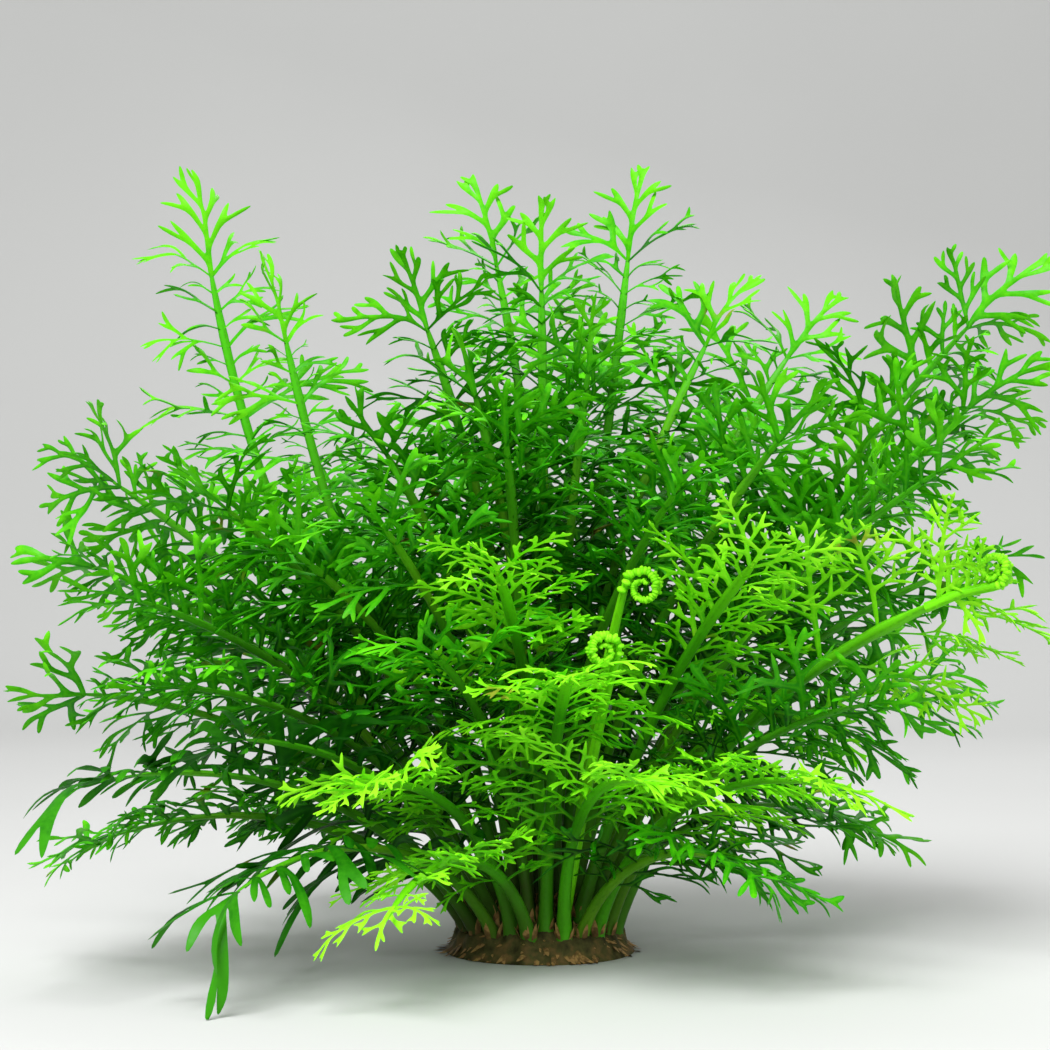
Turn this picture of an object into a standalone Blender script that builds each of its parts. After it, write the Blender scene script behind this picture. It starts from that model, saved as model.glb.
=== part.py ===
"""A water sprite: one bushy rosette of divided fronds on a short crown, cut off flat at the ground.

Metres, +Z up. The origin is the middle of the crown's flat underside, -Y is the side seen first, and +X is
to the right of it. Every frond is one leaf: a stipe that rises from the crown, and pinnae in pairs along its
upper part. Sizes in the tables are millimetres.
"""
import math
from collections import namedtuple
from itertools import product

import bmesh
import bpy
import numpy as np
from mathutils import Matrix, Vector

MM = 0.001
UP = Vector((0.0, 0.0, 1.0))

# Crown: a low dome, the cap of a sphere that the ground cuts off
CROWN_RADIUS = 34 * MM
CROWN_HEIGHT = 17 * MM
CROWN_SPHERE = (CROWN_RADIUS**2 + CROWN_HEIGHT**2) / (2 * CROWN_HEIGHT)
CROWN_RINGS = 4
CROWN_SIDES = 16
GAP = 0.4 * MM

# Where stipes stand on the crown: upright fronds near its middle, low ones near its rim
BASE_REACH = 27.5 * MM
BASE_SPACING = 6.9 * MM
BASE_CROWDING = 1.5
SETTLING_ROUNDS = 400

# Stipes: half of their width (mm), and the shape of their curve as shares of their length
STIPE_FOOT = 2.1 * MM
STIPE_TOP = 0.9 * MM
STIPE_CLEARANCE = 0.7 * MM
CLEAR_ABOVE = 24 * MM
STIPE_STEPS = 60
HANDLE = 0.36
ARCH_AT_FOOT = 1.1
ARCHED = 26

# Pinnae: angles in degrees, and shares of the stipe's or of the longest pinna's length
NODE_LENGTH = 4 * MM
BLADE_WIDTH = 0.3
BLADE_THICKNESS = 1.2 * MM
BLADE_MIDDLE = 0.42
TIP_WIDTH = 0.12
LEAST_ANGLE = 38.0
LIFT = 8.0
UNEVEN_ANGLE = 8.0
UNEVEN_LENGTH = 0.12
LAST_NODE = 0.87
NODE_CROWDING = 0.92
TAPER = 0.45
TAPER_CURVE = 1.3
SAG = 0.1
FACING_UP = 0.6
UNEVEN_FACING = 0.22
FLOOR_CLEARANCE = 1.0 * MM

# Room that one frond leaves to the next
CELL = 3 * MM
SAMPLE = 1.5 * MM

# Kinds of frond: stipe at its foot and at its top, where pinnae start, mm between their pairs, blade width, and
# the angles of the first and the last pair
Kind = namedtuple("Kind", "foot top start spacing blade first last colour")
KINDS = {
    "tall": Kind(1.0, 1.0, 0.38, 27, 1.0, 80, 58, (0.09, 0.50, 0.02)),
    "mature": Kind(1.0, 1.0, 0.38, 27, 1.0, 70, 50, (0.09, 0.50, 0.02)),
    "young": Kind(1.1, 1.3, 0.40, 25, 1.1, 68, 48, (0.30, 0.78, 0.02)),
    "strap": Kind(1.0, 1.2, 0.34, 36, 1.0, 62, 46, (0.03, 0.28, 0.01)),
    "great": Kind(1.25, 2.0, 0.50, 22, 1.0, 68, 50, (0.26, 0.74, 0.02)),
}

# Each frond: where its tip is (mm), the length of its longest pinna (mm), how far its stipe arches over
# (degrees, below zero where it bends up instead), and how far its blade is turned about its stipe (degrees)
Row = namedtuple("Row", "tip pinna arch roll")
FRONDS = {
    ("tall", "tall"): [
        Row((-128, 30, 286), 47, -16, -62),
        Row((-99, 8, 254), 36, -10, -70),
        Row((-51, -30, 252), 52, 12, 40),
        Row((-24, 20, 284), 47, 10, -40),
        Row((0, -10, 272), 49, 8, 20),
        Row((37, 25, 288), 52, 6, 46),
        Row((76, 5, 247), 52, 14, 62),
        Row((113, 45, 243), 54, 14, 55),
    ],
    ("right", "mature"): [
        Row((184, 12, 254), 56, 10, -60),
        Row((176, -30, 214), 52, 16, -50),
        Row((163, -52, 188), 54, 20, -40),
        Row((176, -26, 146), 47, 30, -40),
        Row((99, -62, 203), 56, 18, -40),
        Row((142, 34, 172), 52, 20, -50),
    ],
    ("left", "mature"): [
        Row((-176, -20, 184), 56, 22, 50),
        Row((-190, 4, 146), 49, 26, 50),
        Row((-160, -72, 134), 52, 28, 40),
        Row((-184, -38, 94), 49, 32, 40),
        Row((-140, -96, 100), 54, 34, 30),
        Row((-170, -52, 34), 47, 44, 20),
        Row((-128, -62, 174), 56, 20, 40),
    ],
    ("middle", "mature"): [
        Row((20, -56, 233), 56, 14, 10),
        Row((-66, -62, 198), 58, 20, 30),
        Row((-30, -48, 224), 52, 14, 20),
        Row((-98, -90, 156), 54, 24, 30),
        Row((-62, -104, 166), 54, 24, 15),
        Row((-14, -80, 202), 56, 20, 0),
        Row((56, -92, 180), 54, 24, -15),
        Row((-43, -126, 118), 47, 32, 10),
        Row((76, -108, 34), 45, 44, -20),
        Row((126, -84, 96), 49, 32, -30),
    ],
    ("bright", "young"): [
        Row((78, -112, 152), 54, 30, -30),
        Row((-18, -122, 148), 52, 28, 0),
        Row((10, -136, 108), 52, 34, 0),
        Row((36, -140, 70), 49, 40, -10),
        Row((-66, -138, 66), 45, 40, 15),
        Row((-52, -142, 24), 40, 48, 10),
        Row((100, -118, 66), 47, 40, -20),
    ],
    ("great_young", "great"): [
        Row((157, -72, 136), 74, 24, -40),
    ],
    ("broad", "strap"): [
        Row((-160, -105, 66), 40, 34, 20),
        Row((-112, -112, 84), 38, 30, 20),
        Row((-108, -126, 26), 38, 46, 10),
    ],
    ("back", "mature"): [
        Row((172, 60, 96), 52, 32, 40),
        Row((128, 96, 150), 54, 26, 30),
        Row((138, 92, 26), 47, 46, 20),
        Row((72, 92, 206), 54, 18, 20),
        Row((78, 128, 92), 52, 34, 10),
        Row((20, 84, 232), 54, 14, 10),
        Row((14, 142, 34), 47, 46, 0),
        Row((-40, 98, 206), 54, 18, -15),
        Row((-96, 84, 176), 54, 22, -30),
        Row((-112, 108, 32), 47, 46, -20),
        Row((-134, 72, 116), 52, 30, -30),
    ],
}

# Crosiers: where the coil's middle is (mm), the coil's outer radius (mm) and the coil's heading (degrees)
Crosier = namedtuple("Crosier", "middle radius heading")
CROSIERS = [
    Crosier((34, -70, 132), 6.5, -20),
    Crosier((20, -90, 112), 5.5, 200),
]
COIL_TURNS = 1.4
COIL_STEPS = 11
COIL_HOLE = 0.3
COIL_THREAD = 0.2
COIL_TAPER = 0.1
STALK_POINTS = [(0.4, 0.9), (0.75, 0.8)]
STALK_RISE = 6 * MM
FINE_STEPS = 12

# Colours of the pieces that aren't fronds, and how steep an edge stays sharp (degrees)
CROWN_COLOUR = (0.10, 0.16, 0.03)
CROSIER_COLOUR = (0.24, 0.66, 0.03)
SMOOTH_BELOW = 50

# Ways to lay a pinna that would touch another frond: turned along the stipe, lifted (degrees), and shortened
TRIES = [
    (0, 0, 1.0), (0, 14, 1.0), (0, -14, 1.0), (12, 0, 0.95), (-12, 0, 0.95), (12, 14, 0.9), (-12, 14, 0.9),
    (12, -14, 0.9), (-12, -14, 0.9), (0, 28, 0.85), (0, -28, 0.85), (20, 0, 0.8), (-20, 0, 0.8),
    (0, 20, 0.7), (0, -20, 0.7), (0, 0, 0.6), (0, 30, 0.55), (0, -30, 0.55), (0, 0, 0.42),
]
# Ways to lead a stipe round the ones before it: sideways (mm), and more arched (degrees)
DETOURS = [(0, 5, -5, 10, -10, 16, -16, 22, -22, 30, -30), (0, 6, -6, 12, -12)]


def wobble(*numbers):
    """A steady, uneven number from -1 to 1 for these numbers."""
    return math.sin(sum(number * step for number, step in zip(numbers, (12.9, 4.7, 7.3))))


def turned(vector, axis, degrees):
    """The vector turned about the axis."""
    return Matrix.Rotation(math.radians(degrees), 3, axis) @ vector


def crown_height(reach):
    """Height of the crown's top, this far from its middle."""
    return CROWN_HEIGHT - CROWN_SPHERE + math.sqrt(CROWN_SPHERE**2 - reach**2)


def standing_point(foot, half_width):
    """Where a stipe of this half width starts, over a point of the ground."""
    return Vector((foot.x, foot.y, crown_height(foot.length) + GAP + half_width))


def spread_bases(wanted):
    """Points on the ground near the wanted ones, pushed apart until the stipes have room."""
    points = [point.copy() for point in wanted]
    for _ in range(SETTLING_ROUNDS):
        for i, first in enumerate(points):
            for second in points[:i]:
                apart = first - second
                short = BASE_SPACING - apart.length
                if short > 0:
                    push = apart.normalized() * short / 2
                    first += push
                    second -= push
        for point in points:
            if point.length > BASE_REACH:
                point *= BASE_REACH / point.length
    return points


class Stipe:
    """The leaf's main axis: a curve from the crown to the tip, with the directions across and above it."""

    def __init__(self, foot, tip, arch, roll, sideways=0.0):
        self.foot = foot
        self.tip = tip
        self.roll = roll
        chord = tip - foot
        outward = Vector((chord.x, chord.y, 0.0)).normalized()
        self.side = UP.cross(outward)
        start = turned(chord, -self.side, arch * ARCH_AT_FOOT) * HANDLE
        end = turned(chord, -self.side, -arch) * HANDLE
        drift = self.side * sideways
        self.points = [foot, foot + start + drift, tip - end + drift, tip]

    def at(self, share):
        a, b, c, d = self.points
        rest = 1 - share
        return a * rest**3 + b * 3 * rest**2 * share + c * 3 * rest * share**2 + d * share**3

    def axes(self, share):
        """Along, across and above the stipe."""
        a, b, c, d = self.points
        rest = 1 - share
        along = ((b - a) * rest**2 + (c - b) * 2 * rest * share + (d - c) * share**2).normalized()
        across = turned((self.side - along * self.side.dot(along)).normalized(), along, self.roll)
        return along, across, along.cross(across)

    def samples(self):
        return [self.at(step / STIPE_STEPS) for step in range(STIPE_STEPS + 1)]


def stipe_half_width(kind, share):
    return STIPE_FOOT * kind.foot * (1 - share) + STIPE_TOP * kind.top * share


class Thread:
    """Points along the middle of a stipe or a coil, and how far its corners are from them."""

    def __init__(self, points, half_widths):
        self.points = np.array(points)
        self.reach = np.array(half_widths) * math.sqrt(2)

    def clears(self, others):
        """Whether it keeps away from the others, above where stipes stand side by side on the crown."""
        above = self.points[:, 2] > CLEAR_ABOVE
        for other in others:
            apart = np.linalg.norm(self.points[above, None] - other.points[None], axis=2)
            if (apart < self.reach[above, None] + other.reach[None] + STIPE_CLEARANCE).any():
                return False
        return True


class Room:
    """Which fronds fill each cell of space."""

    def __init__(self):
        self.owners = {}

    def fill(self, name, points):
        for point in points:
            i, j, k = (math.floor(value / CELL) for value in point)
            for cell in [(i + a, j + b, k + c) for a in (-1, 0, 1) for b in (-1, 0, 1) for c in (-1, 0, 1)]:
                self.owners.setdefault(cell, set()).add(name)

    def is_free(self, name, points):
        for point in points:
            cell = tuple(math.floor(value / CELL) for value in point)
            if point.z < FLOOR_CLEARANCE or self.owners.get(cell, {name}) != {name}:
                return False
        return True


class Pinna:
    """One side branch of the leaf: a flat blade from the stipe to its tip."""

    def __init__(self, foot, direction, facing, length, width):
        sag = length * SAG
        self.foot = foot
        self.facing = (facing - direction * facing.dot(direction)).normalized()
        self.across = self.facing.cross(direction)
        self.length = length
        self.width = width
        self.middle = foot + direction * length * BLADE_MIDDLE + self.facing * sag / 2
        self.tip = foot + direction * length - UP * sag

    def samples(self):
        """Points all over the blade, a little past its edges."""
        points = []
        steps = max(3, math.ceil(self.length / SAMPLE))
        for i in range(steps + 1):
            share = i / steps
            if share < BLADE_MIDDLE:
                part = share / BLADE_MIDDLE
                centre = self.foot.lerp(self.middle, part)
                half = self.width / 2 * part
            else:
                part = (share - BLADE_MIDDLE) / (1 - BLADE_MIDDLE)
                centre = self.middle.lerp(self.tip, part)
                half = self.width / 2 * (1 - part)
            lines = max(1, math.ceil(half / SAMPLE))
            points += [centre + self.across * half * line / lines for line in range(-lines, lines + 1)]
        return points


class Frond:
    """A leaf's plan: its stipe, and the pinnae that found room."""

    def __init__(self, number, name, kind, row, foot, others):
        self.number = number
        self.name = name
        self.kind = kind
        self.row = row
        standing = standing_point(foot, STIPE_FOOT * kind.foot)
        tip = Vector(row.tip) * MM
        widths = [stipe_half_width(kind, i / STIPE_STEPS) for i in range(STIPE_STEPS + 1)]
        for sideways, more in sorted(product(*DETOURS), key=lambda detour: Vector(detour).length):
            self.stipe = Stipe(standing, tip, row.arch + more, row.roll, sideways * MM)
            self.thread = Thread(self.stipe.samples(), widths)
            if self.thread.clears(others):
                break
        else:
            raise RuntimeError(f"{name} finds no way past its neighbours")
        bladed = (LAST_NODE - kind.start) * (tip - standing).length
        self.pairs = 1 + round(bladed / (kind.spacing * MM))
        self.pinnae = {}

    def node_share(self, pair):
        """Where a pair of pinnae leaves the stipe, as a share of its length."""
        part = (pair / (self.pairs - 1)) ** NODE_CROWDING
        return self.kind.start + (LAST_NODE - self.kind.start) * part

    def pinna(self, pair, hand, turn, lift, share):
        """The pinna on one hand of a pair, turned and lifted from where it would lie."""
        place = self.node_share(pair)
        along, across, above = self.stipe.axes(place)
        part = pair / (self.pairs - 1)
        angle = self.kind.first + (self.kind.last - self.kind.first) * part + turn
        angle += UNEVEN_ANGLE * wobble(self.number, pair, hand)
        direction = turned(along, above, hand * max(LEAST_ANGLE, angle))
        rise = LIFT + UNEVEN_ANGLE * wobble(pair, self.number, hand) + lift
        direction = turned(direction, direction.cross(above), rise)
        length = self.row.pinna * MM * (1 - TAPER * part**TAPER_CURVE) * share
        length *= 1 + UNEVEN_LENGTH * wobble(hand, pair, self.number)
        level = FACING_UP + UNEVEN_FACING * wobble(self.number)
        facing = above.lerp(UP, level) if above.z > 0 else above
        foot = self.stipe.at(place) + across * hand * stipe_half_width(self.kind, place)
        return Pinna(foot, direction, facing, length, length * BLADE_WIDTH * self.kind.blade)

    def grow(self, room):
        """Lays each pinna the first way that touches no other frond, and leaves it out if none does."""
        for pair in range(self.pairs):
            for hand in (1, -1):
                for turn, lift, share in TRIES:
                    pinna = self.pinna(pair, hand, turn, lift, share)
                    points = pinna.samples()
                    if room.is_free(self.name, points):
                        room.fill(self.name, points)
                        self.pinnae[pair, hand] = pinna
                        break


class RolledFrond:
    """The plan of a young frond still rolled up: a stalk, and the coil at its end."""

    def __init__(self, name, crosier, foot):
        self.name = name
        self.across = turned(Vector((0.0, 1.0, 0.0)), UP, crosier.heading)
        self.lay(crosier, standing_point(foot, STIPE_FOOT))
        self.thread = Thread(*self.fine())

    def lay(self, crosier, foot):
        """Sets the points along the frond, and half its width at each."""
        middle = Vector(crosier.middle) * MM
        radius = crosier.radius * MM
        forward = self.across.cross(UP)
        start = middle - forward * radius
        self.points = [foot]
        self.widths = [STIPE_FOOT]
        for share, width in STALK_POINTS:
            self.points.append(foot.lerp(start, share) + UP * STALK_RISE)
            self.widths.append(STIPE_FOOT * width)
        for step in range(COIL_STEPS + 1):
            part = step / COIL_STEPS
            angle = math.pi - 2 * math.pi * COIL_TURNS * part
            reach = radius * (1 - (1 - COIL_HOLE) * part)
            self.points.append(middle + (forward * math.cos(angle) + UP * math.sin(angle)) * reach)
            self.widths.append(radius * (COIL_THREAD - COIL_TAPER * part))

    def fine(self):
        """Close points all along, with the width at each."""
        shares = [i / FINE_STEPS for i in range(FINE_STEPS)]
        points = [a.lerp(b, share) for a, b in zip(self.points, self.points[1:]) for share in shares]
        widths = [width for width in self.widths[:-1] for _ in shares]
        return points, widths


def plan_plant():
    """Every frond with its stipe and pinnae, and the rolled ones, laid out so that no two touch."""
    rows = [
        (f"{group}_frond_{number}", KINDS[kind], row)
        for (group, kind), rows in FRONDS.items()
        for number, row in enumerate(rows, 1)
    ]
    wanted = []
    for tip in [Vector(row.tip) for _, _, row in rows] + [Vector(crosier.middle) for crosier in CROSIERS]:
        steepness = math.atan2(tip.z, tip.xy.length) / (math.pi / 2)
        wanted.append(tip.xy.normalized() * BASE_REACH * (1 - steepness**BASE_CROWDING))
    feet = spread_bases(wanted)
    rolled = [
        RolledFrond(f"crosier_{number}", crosier, foot)
        for number, (crosier, foot) in enumerate(zip(CROSIERS, feet[len(rows):]), 1)
    ]
    fronds = []
    for number, ((name, kind, row), foot) in enumerate(zip(rows, feet)):
        fronds.append(Frond(number, name, kind, row, foot, [other.thread for other in rolled + fronds]))
    room = Room()
    for frond in fronds:
        room.fill(frond.name, frond.stipe.samples())
    for frond in rolled:
        room.fill(frond.name, frond.fine()[0])
    for frond in fronds:
        frond.grow(room)
    return fronds, rolled


def clear_scene():
    for obj in list(bpy.data.objects):
        bpy.data.objects.remove(obj)


def finish(bm, name, colour):
    """Makes the object of one piece, with a material of its own."""
    bmesh.ops.recalc_face_normals(bm, faces=bm.faces)
    mesh = bpy.data.meshes.new(name)
    bm.to_mesh(mesh)
    bm.free()
    mesh.shade_smooth()
    mesh.set_sharp_from_angle(angle=math.radians(SMOOTH_BELOW))
    material = bpy.data.materials.new(name)
    material.use_nodes = True
    shader = material.node_tree.nodes["Principled BSDF"]
    shader.inputs["Base Color"].default_value = (*colour, 1.0)
    shader.inputs["Roughness"].default_value = 0.45
    shader.inputs["Metallic"].default_value = 0.0
    mesh.materials.append(material)
    bpy.context.scene.collection.objects.link(bpy.data.objects.new(name, mesh))


def drawn_out(bm, face):
    """The new end of an extruded face. A face that stood alone stays behind as the cap of the other end."""
    if all(edge.is_boundary for edge in face.edges):
        made = bmesh.ops.extrude_face_region(bm, geom=[face], use_keep_orig=True)["geom"]
        return next(item for item in made if isinstance(item, bmesh.types.BMFace))
    return bmesh.ops.extrude_discrete_faces(bm, faces=[face])["faces"][0]


def push_face(bm, face, middle, from_axes, to_axes, half_sizes):
    """Extrudes a four-sided face and lays the new one around middle. A corner keeps its side of both axes."""
    face = drawn_out(bm, face)
    centre = face.calc_center_median()
    for corner in face.verts:
        away = corner.co - centre
        corner.co = middle.copy()
        for from_axis, to_axis, half in zip(from_axes, to_axes, half_sizes):
            corner.co += to_axis * math.copysign(half, away.dot(from_axis))
    return face


def close_to_point(bm, face, point):
    """Draws a face out to a single point."""
    face = drawn_out(bm, face)
    bmesh.ops.pointmerge(bm, verts=list(face.verts), merge_co=point)


def square_foot(bm, middle, axes, half):
    """The face that a stipe grows from."""
    across, above = axes
    signs = ((1, 1), (-1, 1), (-1, -1), (1, -1))
    return bm.faces.new([bm.verts.new(middle + across * half * a + above * half * b) for a, b in signs])


def build_crown():
    """A low dome with a flat underside, turned about the vertical."""
    bm = bmesh.new()
    profile = []
    for ring in range(CROWN_RINGS + 1):
        reach = CROWN_RADIUS * math.sin(math.pi / 2 * ring / CROWN_RINGS)
        profile.append(bm.verts.new((reach, 0.0, crown_height(reach))))
    profile.append(bm.verts.new((0.0, 0.0, 0.0)))
    edges = [bm.edges.new(pair) for pair in zip(profile, profile[1:])]
    full = 2 * math.pi
    bmesh.ops.spin(
        bm, geom=profile + edges, cent=(0, 0, 0), axis=UP, angle=full, steps=CROWN_SIDES, use_merge=True
    )
    bmesh.ops.remove_doubles(bm, verts=bm.verts, dist=1e-6)
    finish(bm, "crown", CROWN_COLOUR)


def build_frond(frond):
    """A square stipe drawn out ring by ring, with each pinna extruded from its side."""
    bm = bmesh.new()
    kind, stipe = frond.kind, frond.stipe
    axes = stipe.axes(0.0)
    end = square_foot(bm, stipe.at(0.0), axes[1:], stipe_half_width(kind, 0.0))
    length = (stipe.tip - stipe.foot).length
    rings = 2 if frond.row.arch > ARCHED else 1
    places = [(kind.start * ring / (rings + 1), None) for ring in range(1, rings + 1)]
    for pair in range(frond.pairs):
        half_node = NODE_LENGTH / 2 / length
        places += [(frond.node_share(pair) - half_node, None), (frond.node_share(pair) + half_node, pair)]
    for place, pair in places:
        before, axes = axes, stipe.axes(place)
        half = stipe_half_width(kind, place)
        end = push_face(bm, end, stipe.at(place), before[1:], axes[1:], (half, half))
        if pair is not None:
            grow_blades(bm, end, frond, pair)
    place = (LAST_NODE + 1) / 2
    before, axes = axes, stipe.axes(place)
    half_width = frond.row.pinna * MM * TIP_WIDTH * kind.blade / 2
    end = push_face(bm, end, stipe.at(place), before[1:], axes[1:], (half_width, BLADE_THICKNESS / 2))
    close_to_point(bm, end, stipe.tip)
    finish(bm, frond.name, kind.colour)


def nearest_pair(pair, wanted):
    """The pair of directions, given quarter turns, that lies closest to the wanted pair."""
    first, second = pair
    turns = [(first, second), (second, -first), (-first, -second), (-second, first)]
    return max(turns, key=lambda turn: turn[0].dot(wanted[0]) + turn[1].dot(wanted[1]))


def grow_blades(bm, end, frond, pair):
    """Draws the pinnae of a pair out of the two sides of the stipe behind the face end."""
    along, across, above = frond.stipe.axes(frond.node_share(pair))
    middle = end.calc_center_median()
    for hand in (1, -1):
        pinna = frond.pinnae.get((pair, hand))
        if pinna is None:
            continue
        walls = [face for edge in end.edges for face in edge.link_faces if face != end]
        wall = max(walls, key=lambda face: (face.calc_center_median() - middle).dot(across) * hand)
        blade_axes = (pinna.across, pinna.facing)
        wall_axes = nearest_pair((above, along) if hand > 0 else (along, above), blade_axes)
        half_sizes = (pinna.width / 2, BLADE_THICKNESS / 2)
        blade = push_face(bm, wall, pinna.middle, wall_axes, blade_axes, half_sizes)
        close_to_point(bm, blade, pinna.tip)


def build_crosier(frond):
    """A young frond still rolled up: a square stalk whose end is coiled in one plane."""
    bm = bmesh.new()
    end = None
    for i, (point, width) in enumerate(zip(frond.points, frond.widths)):
        after = frond.points[min(i + 1, len(frond.points) - 1)]
        along = (after - frond.points[max(i - 1, 0)]).normalized()
        side = (frond.across - along * frond.across.dot(along)).normalized()
        axes = (side, along.cross(side))
        if end is None:
            end = square_foot(bm, point, axes, width)
        else:
            end = push_face(bm, end, point, before, axes, (width, width))
        before = axes
    finish(bm, frond.name, CROSIER_COLOUR)


def main():
    clear_scene()
    build_crown()
    fronds, rolled = plan_plant()
    for frond in fronds:
        build_frond(frond)
    for frond in rolled:
        build_crosier(frond)


main()
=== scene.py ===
"""Looks of a water sprite: every frond with its pinnae and lobes, the crosiers, the crown and the stage.

Metres, +Z up, in the frame of the solids that the fronds were planned as. The plan of the fronds comes first
and is the same as theirs. Pinnae are grown flat, in millimetres, as strips drawn out edge by edge, and are
then laid along the planned ones.
"""

import math
from collections import namedtuple
from functools import lru_cache
from itertools import product

import bmesh
import bpy
import numpy as np
from bpy.props import FloatProperty, FloatVectorProperty, IntProperty, PointerProperty
from mathutils import Matrix, Vector, noise


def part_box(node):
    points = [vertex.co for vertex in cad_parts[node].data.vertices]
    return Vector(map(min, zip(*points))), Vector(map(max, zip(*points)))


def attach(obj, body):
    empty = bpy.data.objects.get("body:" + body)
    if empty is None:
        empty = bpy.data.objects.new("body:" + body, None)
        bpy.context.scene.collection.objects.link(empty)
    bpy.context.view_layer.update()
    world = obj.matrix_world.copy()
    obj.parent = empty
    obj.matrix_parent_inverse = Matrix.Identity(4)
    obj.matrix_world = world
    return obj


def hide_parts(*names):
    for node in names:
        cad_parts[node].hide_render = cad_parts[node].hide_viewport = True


bl_info = {
    "name": "Water sprite",
    "version": (1, 0, 0),
    "blender": (4, 5, 0),
    "location": "3D View > Sidebar > Water sprite",
    "description": "Grows the fronds, crosiers and crown of a water sprite around its planned solids",
    "category": "Add Mesh",
}

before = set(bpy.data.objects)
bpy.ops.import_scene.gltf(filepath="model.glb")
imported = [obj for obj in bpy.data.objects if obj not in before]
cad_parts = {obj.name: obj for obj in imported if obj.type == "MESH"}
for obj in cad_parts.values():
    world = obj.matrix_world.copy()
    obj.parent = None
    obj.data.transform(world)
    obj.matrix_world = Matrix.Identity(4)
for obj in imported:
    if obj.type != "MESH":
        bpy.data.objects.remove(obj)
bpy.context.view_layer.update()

MM = 0.001
UP = Vector((0.0, 0.0, 1.0))

# Crown: a low dome, the cap of a sphere that the ground cuts off
CROWN_RADIUS = 34 * MM
CROWN_HEIGHT = 17 * MM
CROWN_SPHERE = (CROWN_RADIUS**2 + CROWN_HEIGHT**2) / (2 * CROWN_HEIGHT)
GAP = 0.4 * MM

# Where stipes stand on the crown: upright fronds near its middle, low ones near its rim
BASE_REACH = 27.5 * MM
BASE_SPACING = 6.9 * MM
BASE_CROWDING = 1.5
SETTLING_ROUNDS = 400

# Stipes: half of their width, the room between them, and the shape of their curve as shares of their length
STIPE_FOOT = 2.1 * MM
STIPE_TOP = 0.9 * MM
STIPE_CLEARANCE = 0.7 * MM
CLEAR_ABOVE = 24 * MM
STIPE_STEPS = 60
HANDLE = 0.36
ARCH_AT_FOOT = 1.1

# Pinnae: angles in degrees, and shares of the stipe's or of the longest pinna's length
BLADE_WIDTH = 0.3
BLADE_MIDDLE = 0.42
LEAST_ANGLE = 38.0
LIFT = 8.0
UNEVEN_ANGLE = 8.0
UNEVEN_LENGTH = 0.12
LAST_NODE = 0.87
NODE_CROWDING = 0.92
TAPER = 0.45
TAPER_CURVE = 1.3
SAG = 0.1
FACING_UP = 0.6
UNEVEN_FACING = 0.22
FLOOR_CLEARANCE = 1.0 * MM

# Room that one frond leaves to the next
CELL = 3 * MM
SAMPLE = 1.5 * MM

# Kinds of frond: stipe at its foot and at its top, where pinnae start, mm between their pairs, blade width,
# and the angles of the first and the last pair
Kind = namedtuple("Kind", "foot top start spacing blade first last")
KINDS = {
    "tall": Kind(1.0, 1.0, 0.38, 27, 1.0, 80, 58),
    "mature": Kind(1.0, 1.0, 0.38, 27, 1.0, 70, 50),
    "young": Kind(1.1, 1.3, 0.40, 25, 1.1, 68, 48),
    "strap": Kind(1.0, 1.2, 0.34, 36, 1.0, 62, 46),
    "great": Kind(1.25, 2.0, 0.50, 22, 1.0, 68, 50),
}

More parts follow.
